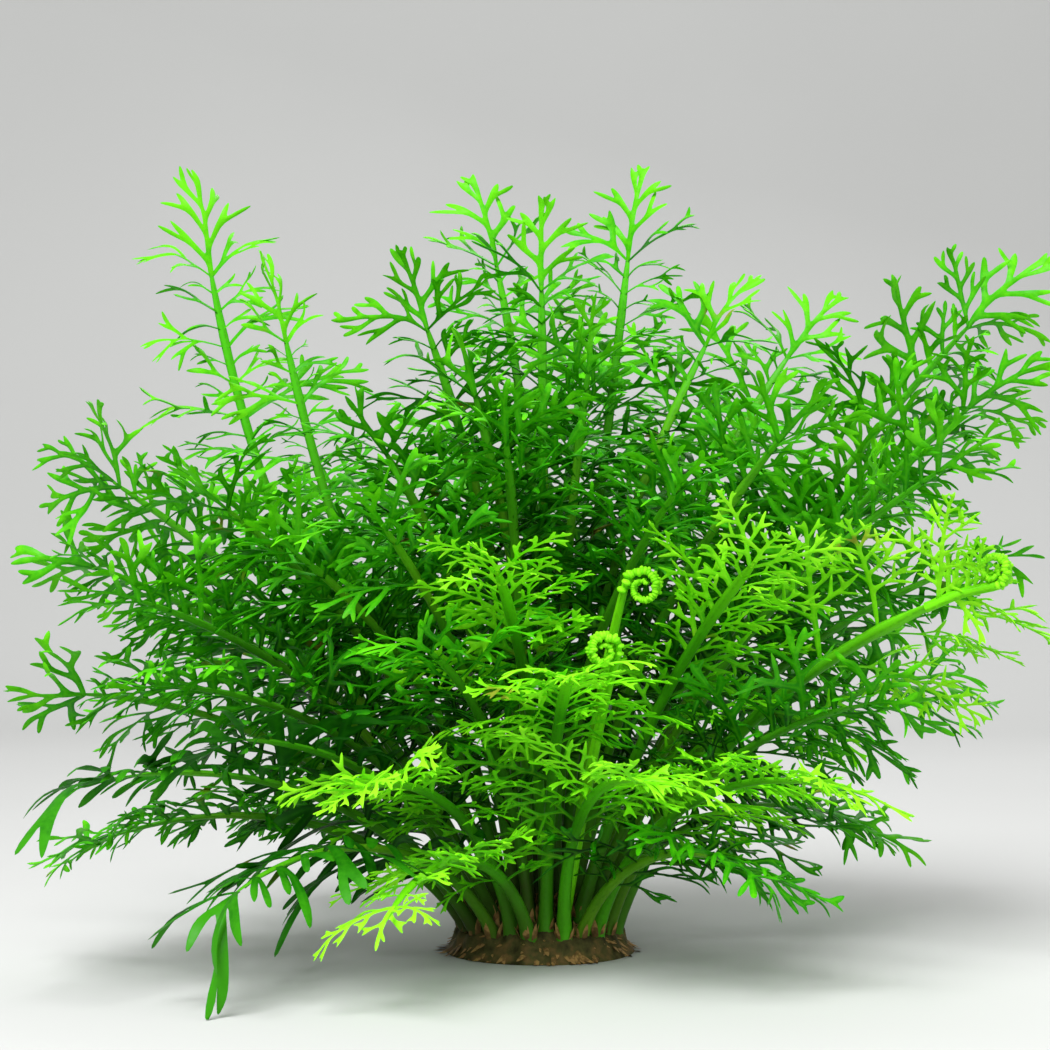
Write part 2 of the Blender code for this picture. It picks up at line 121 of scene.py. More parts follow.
# Each frond: where its tip is (mm), the length of its longest pinna (mm), how far its stipe arches over
# (degrees, below zero where it bends up instead), and how far its blade is turned about its stipe (degrees)
Row = namedtuple("Row", "tip pinna arch roll")
FRONDS = {
    ("tall", "tall"): [
        Row((-128, 30, 286), 47, -16, -62),
        Row((-99, 8, 254), 36, -10, -70),
        Row((-51, -30, 252), 52, 12, 40),
        Row((-24, 20, 284), 47, 10, -40),
        Row((0, -10, 272), 49, 8, 20),
        Row((37, 25, 288), 52, 6, 46),
        Row((76, 5, 247), 52, 14, 62),
        Row((113, 45, 243), 54, 14, 55),
    ],
    ("right", "mature"): [
        Row((184, 12, 254), 56, 10, -60),
        Row((176, -30, 214), 52, 16, -50),
        Row((163, -52, 188), 54, 20, -40),
        Row((176, -26, 146), 47, 30, -40),
        Row((99, -62, 203), 56, 18, -40),
        Row((142, 34, 172), 52, 20, -50),
    ],
    ("left", "mature"): [
        Row((-176, -20, 184), 56, 22, 50),
        Row((-190, 4, 146), 49, 26, 50),
        Row((-160, -72, 134), 52, 28, 40),
        Row((-184, -38, 94), 49, 32, 40),
        Row((-140, -96, 100), 54, 34, 30),
        Row((-170, -52, 34), 47, 44, 20),
        Row((-128, -62, 174), 56, 20, 40),
    ],
    ("middle", "mature"): [
        Row((20, -56, 233), 56, 14, 10),
        Row((-66, -62, 198), 58, 20, 30),
        Row((-30, -48, 224), 52, 14, 20),
        Row((-98, -90, 156), 54, 24, 30),
        Row((-62, -104, 166), 54, 24, 15),
        Row((-14, -80, 202), 56, 20, 0),
        Row((56, -92, 180), 54, 24, -15),
        Row((-43, -126, 118), 47, 32, 10),
        Row((76, -108, 34), 45, 44, -20),
        Row((126, -84, 96), 49, 32, -30),
    ],
    ("bright", "young"): [
        Row((78, -112, 152), 54, 30, -30),
        Row((-18, -122, 148), 52, 28, 0),
        Row((10, -136, 108), 52, 34, 0),
        Row((36, -140, 70), 49, 40, -10),
        Row((-66, -138, 66), 45, 40, 15),
        Row((-52, -142, 24), 40, 48, 10),
        Row((100, -118, 66), 47, 40, -20),
    ],
    ("great_young", "great"): [
        Row((157, -72, 136), 74, 24, -40),
    ],
    ("broad", "strap"): [
        Row((-160, -105, 66), 40, 34, 20),
        Row((-112, -112, 84), 38, 30, 20),
        Row((-108, -126, 26), 38, 46, 10),
    ],
    ("back", "mature"): [
        Row((172, 60, 96), 52, 32, 40),
        Row((128, 96, 150), 54, 26, 30),
        Row((138, 92, 26), 47, 46, 20),
        Row((72, 92, 206), 54, 18, 20),
        Row((78, 128, 92), 52, 34, 10),
        Row((20, 84, 232), 54, 14, 10),
        Row((14, 142, 34), 47, 46, 0),
        Row((-40, 98, 206), 54, 18, -15),
        Row((-96, 84, 176), 54, 22, -30),
        Row((-112, 108, 32), 47, 46, -20),
        Row((-134, 72, 116), 52, 30, -30),
    ],
}

# Crosiers: where the coil's middle is (mm), the coil's outer radius (mm) and the coil's heading (degrees)
Crosier = namedtuple("Crosier", "middle radius heading")
CROSIERS = [
    Crosier((34, -70, 132), 6.5, -20),
    Crosier((20, -90, 112), 5.5, 200),
]
COIL_TURNS = 1.4
COIL_STEPS = 11
COIL_HOLE = 0.3
COIL_THREAD = 0.2
COIL_TAPER = 0.1
STALK_POINTS = [(0.4, 0.9), (0.75, 0.8)]
STALK_RISE = 6 * MM
FINE_STEPS = 12

# Ways to lay a pinna that would touch another frond: turned along the stipe, lifted (degrees), and shortened
TRIES = [
    (0, 0, 1.0), (0, 14, 1.0), (0, -14, 1.0), (12, 0, 0.95), (-12, 0, 0.95), (12, 14, 0.9), (-12, 14, 0.9),
    (12, -14, 0.9), (-12, -14, 0.9), (0, 28, 0.85), (0, -28, 0.85), (20, 0, 0.8), (-20, 0, 0.8),
    (0, 20, 0.7), (0, -20, 0.7), (0, 0, 0.6), (0, 30, 0.55), (0, -30, 0.55), (0, 0, 0.42),
]
# Ways to lead a stipe round the ones before it: sideways (mm), and more arched (degrees)
DETOURS = [(0, 5, -5, 10, -10, 16, -16, 22, -22, 30, -30), (0, 6, -6, 12, -12)]

# Small pinnae between the pairs: shares of the length that a paired one would have, and of its width, and how
# far below the first pair the lowest stand, as a share of the stipe's bare length
BETWEEN_SHARE = 0.62
LATE_SHARE = 0.45
SMALL_SHARE = 0.40
SMALL_WIDTH = 0.4
LOW_STEP = 0.2
LATE_TRIES = 13

# How far a planned frond may lie from the sides of its solid
PLACE_SLACK = 8 * MM

# A place to draw a strip out from: the edge it starts at, where that is, and which way is on and to the side
Bud = namedtuple("Bud", "edge middle heading side reach")
# A drawn strip: the bud at its end, and one on each side of it
Strip = namedtuple("Strip", "end left right")
# One ring of a stalk: its middle, the directions across and above it, and half its size in both
Ring = namedtuple("Ring", "middle across above half_across half_above")

# How a kind of pinna grows: mm and degrees for one 50 mm long. Pinnules shorten and lean from the first
# length and angle to the last, most is how many lobes one has, and limp is how far strips lift and roll
Growth = namedtuple(
    "Growth",
    "stalk wing step foot pinnule last_pinnule angle last_angle "
    "segment lobe_foot lobe lobe_width lobe_angle most tip limp",
)
GROWTHS = {
    "mature": Growth(3.5, 2.2, 5.3, 2.3, 26, 12.0, 50, 30, 4.8, 1.9, 0.70, 2.2, 37, 2, 0.9, 24),
    "young": Growth(2.5, 1.5, 3.3, 1.6, 18, 7.0, 58, 36, 2.5, 1.5, 0.50, 1.25, 44, 5, 0.5, 20),
    "great": Growth(11.0, 1.6, 3.4, 1.6, 24, 7.0, 62, 38, 2.6, 1.5, 0.50, 1.25, 46, 6, 0.5, 22),
    "slender": Growth(5.0, 1.7, 5.0, 2.2, 27, 15, 38, 24, 5.5, 1.9, 0.72, 1.9, 28, 2, 0.7, 26),
    "strap": Growth(5.0, 3.0, 10.0, 4.4, 44, 32, 38, 20, 15.0, 4.4, 0.80, 4.3, 24, 1, 2.0, 14),
}
STALK_WIDTH = 1.8
SUNK = 1.6
FULL_PINNA = 50.0
PINNA_LENGTHS = (15, 24, 36, 50, 72)
SHORTENING = 0.6

# Lobes: the lengths (mm) from which they have two and three stretches, how blunt they end against their kind,
# and how far one stretch bends (degrees), droops and rolls (shares of limp) from the one before
LONG_LOBE = 4.2
VERY_LONG_LOBE = 4 * LONG_LOBE
BLUNTNESS = (0.5, 1.7)
BEND = 7
LOBE_DROOP = 0.3
LOBE_ROLL = 0.5

# Pinnules: shares of their length, and how far they bend back (degrees) and droop (a share of limp)
NECK = 0.2
NECK_SEGMENTS = 0.3
LOBED_SHARE = 0.66
LAST_LOBE_SHARE = 0.34
LOBE_SHORTENING = 0.3
LOBE_UNEVEN = (0.75, 1.2)
LAST_LOBE_BEND = 9
BACK_BEND = 4
PINNULE_DROOP = 0.15
PINNULE_WIDER = 1.05
# How far towards its tip a pinnule starts after the axis, and how far it gets before the last lobe
NEXT_REACH = 0.12
LOBED_REACH = 0.8
LOBED_REACH_SHARE = 0.7

# The axis of a pinna: how near to a lobe's tip its stalk and its axis count as, its stalk at a frond's tip
# (mm), the share of its wing that it loses, how far it zigzags and wavers (degrees), and its pinnules
STALK_REACH = 0.04
AXIS_REACH = (0.05, 0.45)
TIP_STALK = 1.0
WING_LOSS = 0.3
ZIGZAG = 3.0
WAVER = 3
TIP_BEND = 4
LAST_PINNULE_SHARE = 0.9
PINNULE_CURVE = 0.8
PINNULE_UNEVEN = (0.82, 1.14)
FIRST_PINNULE = 0.85
PINNULE_TURN = 7

# Shares of a pinna's length, and degrees, by which one laid pinna differs from the next, how near the ground
# leafage comes, and the distance (mm) at which its points are one
TWIST = 45.0
TILT = 24.0
SWEEP = 0.09
WAVE = 0.025
WAVES = (1.0, 2.2)
CUP = 0.45
CUPPED = (-0.3, 1.0)
LEAST_HEIGHT = 0.3 * MM
WELD = 1e-5
FROND_SEED = 1000

# Stipes as drawn: rings and sides, how the end tapers inside the last pinna, where the foot's brown ends, how
# deep the foot goes into the crown, and how the foot and the nodes swell
STIPE_RINGS = 30
STIPE_SIDES = 10
STIPE_END = 1.01
STIPE_ENDING = (0.35, 0.7, 0.9)
STIPE_GREEN_FROM = 150 * MM
STIPE_SUNK = 5 * MM
FOOT_FLARE = 0.35
FOOT_REACH = 0.04
NODE_SWELLING = 0.16
NODE_REACH = 0.012

# Painted light and shade: leafage is painted lightest on the outside of an oval round this centre and high
# up, and darkest deep inside
LIGHT_CENTRE = np.array([0.0, 0.0, 70 * MM])
LIGHT_SIZE = np.array([190 * MM, 150 * MM, 210 * MM])
LIGHT_INSIDE = -0.30
LIGHT_HEIGHT = 1.1
MOST_LIGHT = 0.72
UNEVEN_LIGHT = 0.14
TIP_LIGHTER = 0.08

# Coils: steps between their points, and how light they are
COIL_SMOOTHING = 4
COIL_LIGHT = 0.7
# The coil at the great frond's end, the stalk before it, and the small pinnae on that stalk
TIP_COIL = 5.5 * MM
TIP_COIL_RISE = 0.6
TIP_STALK_SHARES = (-0.2, 0.3)
TIP_PINNAE = 9
TIP_PINNAE_REACH = 0.55
TIP_ANGLES = (75, 35)
TIP_TURN = 12
TIP_ROLL = 50
TIP_PINNA_SHARE = (0.55, 0.85)
# Rolled pinnae: how they shrink and differ, how far they stand out, their shape and their light
BUD_SIZE = 1.5 * MM
BUD_FINENESS = 2
BUD_SHRINKING = 0.55
BUD_UNEVEN = (0.8, 1.15)
BUD_OUT = 0.35
BUD_RISE = 0.4
BUD_SHAPE = (0.62, 0.9, 1.0)
BUD_LIGHT = (0.5, 0.9)
BUD_REACH = 0.8
CROSIER_SEED = 500

# Crown: collars round the stipes, and lumps
CROWN_FINENESS = 6
COLLAR_HEIGHT = 3.2 * MM
COLLAR_REACH = 3.4 * MM
LUMP_SIZE = 5 * MM
LUMP_HEIGHT = 0.8 * MM
# Scales: the strips of one (length and width in mm, reach, lift in degrees), and how they lie and differ
SCALE_FOOT = 1.2
SCALE_BACK = 0.5
SCALE_STRIPS = [(2.0, 1.9, 0.3, -6.0), (2.2, 1.3, 0.7, -10.0), (1.8, 0.15, 1.0, 14.0)]
SCALE_THICKNESS = 0.25
SCALE_SIZES = (0.8, 1.5)
SCALE_BAND = (0.25, 0.97)
GOLDEN_ANGLE = math.radians(137.508)
SCALE_SHIFT = 0.3
SCALE_TURN = 50
SCALE_RISE = (4, 30)
CROWN_SEED = 77
# Scales that stand up round each stipe's foot: how many, and how they turn (degrees), rise (mm) and lean
FOOT_SCALES = 6
FOOT_WIDTH = 1.25
FOOT_SCALE_TURN = 25
FOOT_SCALE_HEIGHT = (0.3, 2.0)
FOOT_SCALE_LEAN = (0.25, 0.8)

# How each kind of leafage is finished: its slot, leaf and stipe, and how much lighter than others it is
Dress = namedtuple("Dress", "slot leaf stipe lighter")
DRESSES = {
    "mature": Dress("mature_leaf", "mature", "stipe", 0.0),
    "young": Dress("young_leaf", "young", "young_stipe", 0.25),
    "great": Dress("young_leaf", "young", "young_stipe", 0.25),
    "slender": Dress("mature_leaf", "mature", "stipe", 0.1),
    "strap": Dress("broad_leaf", "broad", "stipe", 0.15),
}

# Finishes: the sheen of all, what noise mostly lies between, and the sockets of a node that mixes colours
SHEEN = 0.13
MOST_NOISE = (0.3, 0.7)
MIX_AMOUNT, MIX_FIRST, MIX_SECOND, MIX_RESULT = 0, 6, 7, 2

# Stage: the floor's sizes (m), the point that lights face, the camera's sensor (mm), and the even light
STAGE_HALF_WIDTH = 6.0
FLOOR_FRONT = -6.0
FLOOR_BACK = 1.0
COVE_RADIUS = 0.6
COVE_STEPS = 16
WALL_TOP = 2.4
LIGHT_TARGET = Vector((0.0, 0.0, 0.14))
SENSOR = 36.0
# Each light: where it is, and how wide (m)
LIGHTS = {
    "key": ((-0.45, -1.05, 1.5), 1.0),
    "fill": ((1.1, -0.9, 0.55), 1.0),
    "back": ((0.3, 0.9, 1.1), 0.9),
}
WORLD_COLOUR = (1.0, 0.99, 0.96, 1.0)
WORLD_STRENGTH = 0.38


def wobble(*numbers):
    """A steady, uneven number from -1 to 1 for these numbers."""
    return math.sin(sum(number * step for number, step in zip(numbers, (12.9, 4.7, 7.3))))


def turned(vector, axis, degrees):
    """The vector turned about the axis."""
    return Matrix.Rotation(math.radians(degrees), 3, axis) @ vector


def crown_height(reach):
    """Height of the crown's top, this far from its middle."""
    return CROWN_HEIGHT - CROWN_SPHERE + math.sqrt(CROWN_SPHERE**2 - reach**2)


def standing_point(foot, half_width):
    """Where a stipe of this half width starts, over a point of the ground."""
    return Vector((foot.x, foot.y, crown_height(foot.length) + GAP + half_width))


def spread_bases(wanted):
    """Points on the ground near the wanted ones, pushed apart until the stipes have room."""
    points = [point.copy() for point in wanted]
    for _ in range(SETTLING_ROUNDS):
        for i, first in enumerate(points):
            for second in points[:i]:
                apart = first - second
                short = BASE_SPACING - apart.length
                if short > 0:
                    push = apart.normalized() * short / 2
                    first += push
                    second -= push
        for point in points:
            if point.length > BASE_REACH:
                point *= BASE_REACH / point.length
    return points


class Stipe:
    """The leaf's main axis: a curve from the crown to the tip, with the directions across and above it."""

    def __init__(self, foot, tip, arch, roll, sideways=0.0):
        self.foot = foot
        self.tip = tip
        self.roll = roll
        chord = tip - foot
        outward = Vector((chord.x, chord.y, 0.0)).normalized()
        self.side = UP.cross(outward)
        start = turned(chord, -self.side, arch * ARCH_AT_FOOT) * HANDLE
        end = turned(chord, -self.side, -arch) * HANDLE
        drift = self.side * sideways
        self.points = [foot, foot + start + drift, tip - end + drift, tip]

    def at(self, share):
        a, b, c, d = self.points
        rest = 1 - share
        return a * rest**3 + b * 3 * rest**2 * share + c * 3 * rest * share**2 + d * share**3

    def axes(self, share):
        """Along, across and above the stipe."""
        a, b, c, d = self.points
        rest = 1 - share
        along = ((b - a) * rest**2 + (c - b) * 2 * rest * share + (d - c) * share**2).normalized()
        across = turned((self.side - along * self.side.dot(along)).normalized(), along, self.roll)
        return along, across, along.cross(across)

    def samples(self):
        return [self.at(step / STIPE_STEPS) for step in range(STIPE_STEPS + 1)]


def stipe_half_width(kind, share):
    return STIPE_FOOT * kind.foot * (1 - share) + STIPE_TOP * kind.top * share


class Thread:
    """Points along the middle of a stipe or a coil, and how far its corners are from them."""

    def __init__(self, points, half_widths):
        self.points = np.array(points)
        self.reach = np.array(half_widths) * math.sqrt(2)

    def clears(self, others):
        """Whether it keeps away from the others, above where stipes stand side by side on the crown."""
        above = self.points[:, 2] > CLEAR_ABOVE
        for other in others:
            apart = np.linalg.norm(self.points[above, None] - other.points[None], axis=2)
            if (apart < self.reach[above, None] + other.reach[None] + STIPE_CLEARANCE).any():
                return False
        return True


class Room:
    """Which fronds fill each cell of space."""

    def __init__(self):
        self.owners = {}

    def fill(self, name, points):
        for point in points:
            i, j, k = (math.floor(value / CELL) for value in point)
            for cell in [(i + a, j + b, k + c) for a in (-1, 0, 1) for b in (-1, 0, 1) for c in (-1, 0, 1)]:
                self.owners.setdefault(cell, set()).add(name)

    def is_free(self, name, points):
        for point in points:
            cell = tuple(math.floor(value / CELL) for value in point)
            if point.z < FLOOR_CLEARANCE or self.owners.get(cell, {name}) != {name}:
                return False
        return True


class Pinna:
    """One side branch of the leaf: a flat blade from the stipe to its tip."""

    def __init__(self, foot, direction, facing, length, width):
        self.sag = length * SAG
        self.foot = foot
        self.direction = direction
        self.facing = (facing - direction * facing.dot(direction)).normalized()
        self.across = self.facing.cross(direction)
        self.length = length
        self.width = width
        self.middle = foot + direction * length * BLADE_MIDDLE + self.facing * self.sag / 2
        self.tip = foot + direction * length - UP * self.sag

    def samples(self):
        """Points all over the blade, a little past its edges."""
        points = []
        steps = max(3, math.ceil(self.length / SAMPLE))
        for i in range(steps + 1):
            share = i / steps
            if share < BLADE_MIDDLE:
                part = share / BLADE_MIDDLE
                centre = self.foot.lerp(self.middle, part)
                half = self.width / 2 * part
            else:
                part = (share - BLADE_MIDDLE) / (1 - BLADE_MIDDLE)
                centre = self.middle.lerp(self.tip, part)
                half = self.width / 2 * (1 - part)
            lines = max(1, math.ceil(half / SAMPLE))
            points += [centre + self.across * half * line / lines for line in range(-lines, lines + 1)]
        return points


class Frond:
    """A leaf's plan: its stipe, and the pinnae that found room."""

    def __init__(self, number, name, kind, row, foot, others):
        self.number = number
        self.name = name
        self.kind = kind
        self.row = row
        standing = standing_point(foot, STIPE_FOOT * kind.foot)
        tip = Vector(row.tip) * MM
        widths = [stipe_half_width(kind, i / STIPE_STEPS) for i in range(STIPE_STEPS + 1)]
        for sideways, more in sorted(product(*DETOURS), key=lambda detour: Vector(detour).length):
            self.stipe = Stipe(standing, tip, row.arch + more, row.roll, sideways * MM)
            self.thread = Thread(self.stipe.samples(), widths)
            if self.thread.clears(others):
                break
        else:
            raise RuntimeError(f"{name} finds no way past its neighbours")
        bladed = (LAST_NODE - kind.start) * (tip - standing).length
        self.pairs = 1 + round(bladed / (kind.spacing * MM))
        self.pinnae = {}
        self.between = []

    def node_share(self, pair):
        """Where a pair of pinnae leaves the stipe, as a share of its length."""
        if pair < 0:
            return self.kind.start * (1 + pair * LOW_STEP)
        part = (pair / (self.pairs - 1)) ** NODE_CROWDING
        return self.kind.start + (LAST_NODE - self.kind.start) * part

    def pinna(self, pair, hand, turn, lift, share):
        """The pinna on one hand of a pair, turned and lifted from where it would lie."""
        place = self.node_share(pair)
        along, across, above = self.stipe.axes(place)
        part = max(0, pair) / (self.pairs - 1)
        angle = self.kind.first + (self.kind.last - self.kind.first) * part + turn
        angle += UNEVEN_ANGLE * wobble(self.number, pair, hand)
        direction = turned(along, above, hand * max(LEAST_ANGLE, angle))
        rise = LIFT + UNEVEN_ANGLE * wobble(pair, self.number, hand) + lift
        direction = turned(direction, direction.cross(above), rise)
        length = self.row.pinna * MM * (1 - TAPER * part**TAPER_CURVE) * share
        length *= 1 + UNEVEN_LENGTH * wobble(hand, pair, self.number)
        level = FACING_UP + UNEVEN_FACING * wobble(self.number)
        facing = above.lerp(UP, level) if above.z > 0 else above
        foot = self.stipe.at(place) + across * hand * stipe_half_width(self.kind, place)
        return Pinna(foot, direction, facing, length, length * BLADE_WIDTH * self.kind.blade)

    def grow(self, room):
        """Lays each pinna the first way that touches no other frond, and leaves it out if none does."""
        for pair in range(self.pairs):
            for hand in (1, -1):
                for turn, lift, share in TRIES:
                    pinna = self.pinna(pair, hand, turn, lift, share)
                    points = pinna.samples()
                    if room.is_free(self.name, points):
                        room.fill(self.name, points)
                        self.pinnae[pair, hand] = pinna
                        break

    def grow_between(self, room):
        """Lays smaller pinnae halfway between the pairs, and where a pair lacks one, if there is room."""
        for pair, hand, share in self.gaps():
            for turn, lift, shorter in TRIES[:LATE_TRIES]:
                pinna = self.pinna(pair, hand, turn, lift, share * shorter)
                pinna.width *= SMALL_WIDTH
                points = pinna.samples()
                if room.is_free(self.name, points):
                    room.fill(self.name, points)
                    self.between.append(pinna)
                    break

    def gaps(self):
        """Places for small pinnae: which pair they are at, on which hand, and how long they are."""
        found = [(pair, hand, LATE_SHARE) for pair in range(self.pairs) for hand in (1, -1)]
        found = [gap for gap in found if gap[:2] not in self.pinnae]
        if self.kind is KINDS["great"]:
            return found
        halfway = [(pair + 0.5, BETWEEN_SHARE) for pair in range(self.pairs - 1)]
        halfway += [(-1, BETWEEN_SHARE), (-2, LATE_SHARE)]
        quarters = [(pair + part, SMALL_SHARE) for pair in range(self.pairs - 1) for part in (0.25, 0.75)]
        return found + [(pair, hand, share) for pair, share in halfway + quarters for hand in (1, -1)]

    def last_pinna(self):
        """The pinna that ends the stipe, from its last pair to its tip."""
        _, _, above = self.stipe.axes(LAST_NODE)
        foot = self.stipe.at(LAST_NODE)
        direction = self.stipe.tip - foot
        return Pinna(foot, direction.normalized(), above, direction.length, 0.0)


class RolledFrond:
    """The plan of a young frond still rolled up: a stalk, and the coil at its end."""

    def __init__(self, name, crosier, foot):
        self.name = name
        self.across = turned(Vector((0.0, 1.0, 0.0)), UP, crosier.heading)
        self.lay(crosier, standing_point(foot, STIPE_FOOT))
        self.thread = Thread(*self.fine())

    def lay(self, crosier, foot):
        """Sets the points along the frond, and half its width at each."""
        middle = Vector(crosier.middle) * MM
        radius = crosier.radius * MM
        forward = self.across.cross(UP)
        start = middle - forward * radius
        self.points = [foot]
        self.widths = [STIPE_FOOT]
        for share, width in STALK_POINTS:
            self.points.append(foot.lerp(start, share) + UP * STALK_RISE)
            self.widths.append(STIPE_FOOT * width)
        for step in range(COIL_STEPS + 1):
            part = step / COIL_STEPS
            angle = math.pi - 2 * math.pi * COIL_TURNS * part
            reach = radius * (1 - (1 - COIL_HOLE) * part)
            self.points.append(middle + (forward * math.cos(angle) + UP * math.sin(angle)) * reach)
            self.widths.append(radius * (COIL_THREAD - COIL_TAPER * part))

    def fine(self):
        """Close points all along, with the width at each."""
        shares = [i / FINE_STEPS for i in range(FINE_STEPS)]
        points = [a.lerp(b, share) for a, b in zip(self.points, self.points[1:]) for share in shares]
        widths = [width for width in self.widths[:-1] for _ in shares]
        return points, widths


def plan_plant():
    """Every frond with its stipe and pinnae, the rolled ones, and the room that they take."""
    rows = [
        (f"{group}_frond_{number}", KINDS[kind], row)
        for (group, kind), rows in FRONDS.items()
        for number, row in enumerate(rows, 1)
    ]
    wanted = []
    for tip in [Vector(row.tip) for _, _, row in rows] + [Vector(crosier.middle) for crosier in CROSIERS]:
        steepness = math.atan2(tip.z, tip.xy.length) / (math.pi / 2)
        wanted.append(tip.xy.normalized() * BASE_REACH * (1 - steepness**BASE_CROWDING))
    feet = spread_bases(wanted)
    rolled = [
        RolledFrond(f"crosier_{number}", crosier, foot)
        for number, (crosier, foot) in enumerate(zip(CROSIERS, feet[len(rows):]), 1)
    ]
    fronds = []
    for number, ((name, kind, row), foot) in enumerate(zip(rows, feet)):
        fronds.append(Frond(number, name, kind, row, foot, [other.thread for other in rolled + fronds]))
    room = Room()
    for frond in fronds:
        room.fill(frond.name, frond.stipe.samples())
    for frond in rolled:
        room.fill(frond.name, frond.fine()[0])
    for frond in fronds:
        frond.grow(room)
    return fronds, rolled, room


@lru_cache(maxsize=1)
def planned():
    """The plan of the plant, with the small pinnae that stand between the planned ones."""
    fronds, rolled, room = plan_plant()
    for frond in fronds:
        frond.grow_between(room)
        check_place(frond)
    return fronds, rolled


def check_place(frond):
    """Stops the script where a frond isn't where its solid is."""
    points = [frond.stipe.foot, frond.stipe.tip]
    for pinna in frond.pinnae.values():
        points += [pinna.foot, pinna.tip]
    low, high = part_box(frond.name)
    for axis in range(3):
        values = [point[axis] for point in points]
        if abs(min(values) - low[axis]) > PLACE_SLACK or abs(max(values) - high[axis]) > PLACE_SLACK:
            raise RuntimeError(f"{frond.name} isn't planned where its solid is")


def measure_property(name, description, default, unit="LENGTH"):
    return FloatProperty(name=name, description=description, default=default, unit=unit)


def colour_property(name, description, default):
    return FloatVectorProperty(
        name=name, description=description, default=default, size=3, min=0.0, max=1.0, subtype="COLOR"
    )


class SpriteSizes(bpy.types.PropertyGroup):
    """Sizes of the leafy parts."""

    blade: measure_property("Blade thickness", "Thickness of a pinna along the middle of its lobes", 0.7 * MM)
    lobe_width: FloatProperty(
        name="Lobe width",
        description="Width of all lobes, against their usual width",
        default=1.0,
        min=0.5,
        max=2.0,
        subtype="FACTOR",
    )
    variants: IntProperty(
        name="Variants",
        description="How many different pinnae are grown for each kind and length",
        default=4,
        min=1,
        max=12,
    )
    scales: IntProperty(
        name="Crown scales",
        description="How many papery scales cover the crown",
        default=320,
        min=0,
        max=600,
    )


class SpriteColours(bpy.types.PropertyGroup):
    """Colours of the plant, from its shaded parts to its tips."""

    # The deep colours are painted shade, for leafage deep inside the plant, and the light ones painted light,
    # for leafage high up
    mature_deep: colour_property("Mature, deep", "Shaded parts of mature fronds", (0.0015, 0.055, 0.001))
    mature: colour_property("Mature", "Most of a mature frond", (0.018, 0.27, 0.002))
    mature_light: colour_property("Mature, light", "Upper parts of mature fronds", (0.060, 0.49, 0.003))
    mature_tip: colour_property("Mature, tips", "Tips of the lobes of mature fronds", (0.15, 0.69, 0.006))
    young_deep: colour_property("Young, deep", "Shaded parts of young fronds", (0.014, 0.20, 0.003))
    young: colour_property("Young", "Most of a young frond", (0.090, 0.57, 0.004))
    young_light: colour_property("Young, light", "Upper parts of young fronds", (0.22, 0.82, 0.006))
    young_tip: colour_property("Young, tips", "Tips of the lobes of young fronds", (0.36, 0.93, 0.02))
    broad_deep: colour_property("Broad, deep", "Shaded parts of broad fronds", (0.002, 0.05, 0.002))
    broad: colour_property("Broad", "Most of a broad frond", (0.006, 0.11, 0.002))
    broad_light: colour_property("Broad, light", "Upper parts of broad fronds", (0.015, 0.19, 0.003))
    broad_tip: colour_property("Broad, tips", "Tips of the lobes of broad fronds", (0.045, 0.33, 0.006))
    stipe: colour_property("Stipe", "Stipes of mature fronds", (0.040, 0.22, 0.003))
    stipe_foot: colour_property("Stipe, foot", "Stipes next to the crown", (0.045, 0.075, 0.012))
    stipe_pale: colour_property("Stipe, pale", "Pale stretches of the stipes", (0.16, 0.42, 0.010))
    worn: colour_property("Worn", "Small worn spots on old lobes", (0.30, 0.20, 0.03))
    crown: colour_property("Crown", "The crown", (0.075, 0.068, 0.020))
    scale: colour_property("Crown scales", "Papery scales of the crown", (0.17, 0.10, 0.035))


class SpriteStage(bpy.types.PropertyGroup):
    """Floor, light and camera."""

    floor: colour_property("Floor", "The floor and the backdrop", (0.53, 0.535, 0.53))
    key: measure_property("Key light", "Power of the large light above", 54.0, "POWER")
    fill: measure_property("Fill light", "Power of the light at the right", 7.0, "POWER")
    back: measure_property("Back light", "Power of the light behind", 7.0, "POWER")
    distance: measure_property("Camera distance", "How far in front of the plant the camera stands", 950 * MM)
    view_width: measure_property("View width", "How much of the plant's middle plane is seen", 378 * MM)
    target: FloatVectorProperty(
        name="Target",
        description="The point that the camera looks at",
        default=(-5.4 * MM, 0.0, 153 * MM),
        size=3,
        subtype="TRANSLATION",
    )


class Sprig:
    """A leafy branch in the making: strips of faces drawn out edge by edge along +X."""

    def __init__(self, width, back):
        self.bm = bmesh.new()
        self.reach = self.bm.verts.layers.float.new("leaf_reach")
        ends = [self.bm.verts.new((-back, side * width / 2, 0.0)) for side in (-1, 1)]
        heading, side = Vector((1.0, 0.0, 0.0)), Vector((0.0, 1.0, 0.0))
        self.root = Bud(self.bm.edges.new(ends), Vector((-back, 0.0, 0.0)), heading, side, 0.0)

    def draw(self, bud, length, width, reach, turn=0.0, lift=0.0, roll=0.0):
        """Draws the bud's edge out, turned to the side, lifted and rolled by so many degrees."""
        above = bud.heading.cross(bud.side)
        heading = turned(bud.heading, above, turn)
        side = turned(bud.side, above, turn)
        heading = turned(heading, side, -lift)
        side = turned(side, heading, roll)
        middle = bud.middle + heading * length
        made = bmesh.ops.extrude_edge_only(self.bm, edges=[bud.edge])["geom"]
        corners = [item for item in made if isinstance(item, bmesh.types.BMVert)]
        corners.sort(key=lambda corner: (corner.co - bud.middle).dot(side))
        buds = []
        for corner, hand in zip(corners, (-1, 1)):
            root = next(edge for edge in corner.link_edges if edge.other_vert(corner) in bud.edge.verts)
            start = root.other_vert(corner).co.copy()
            corner.co = middle + side * hand * width / 2
            corner[self.reach] = reach
            buds.append(Bud(root, (start + corner.co) / 2, heading, side, reach))
        end = next(edge for edge in corners[0].link_edges if edge.other_vert(corners[0]) is corners[1])
        return Strip(Bud(end, middle, heading, side, reach), buds[1], buds[0])


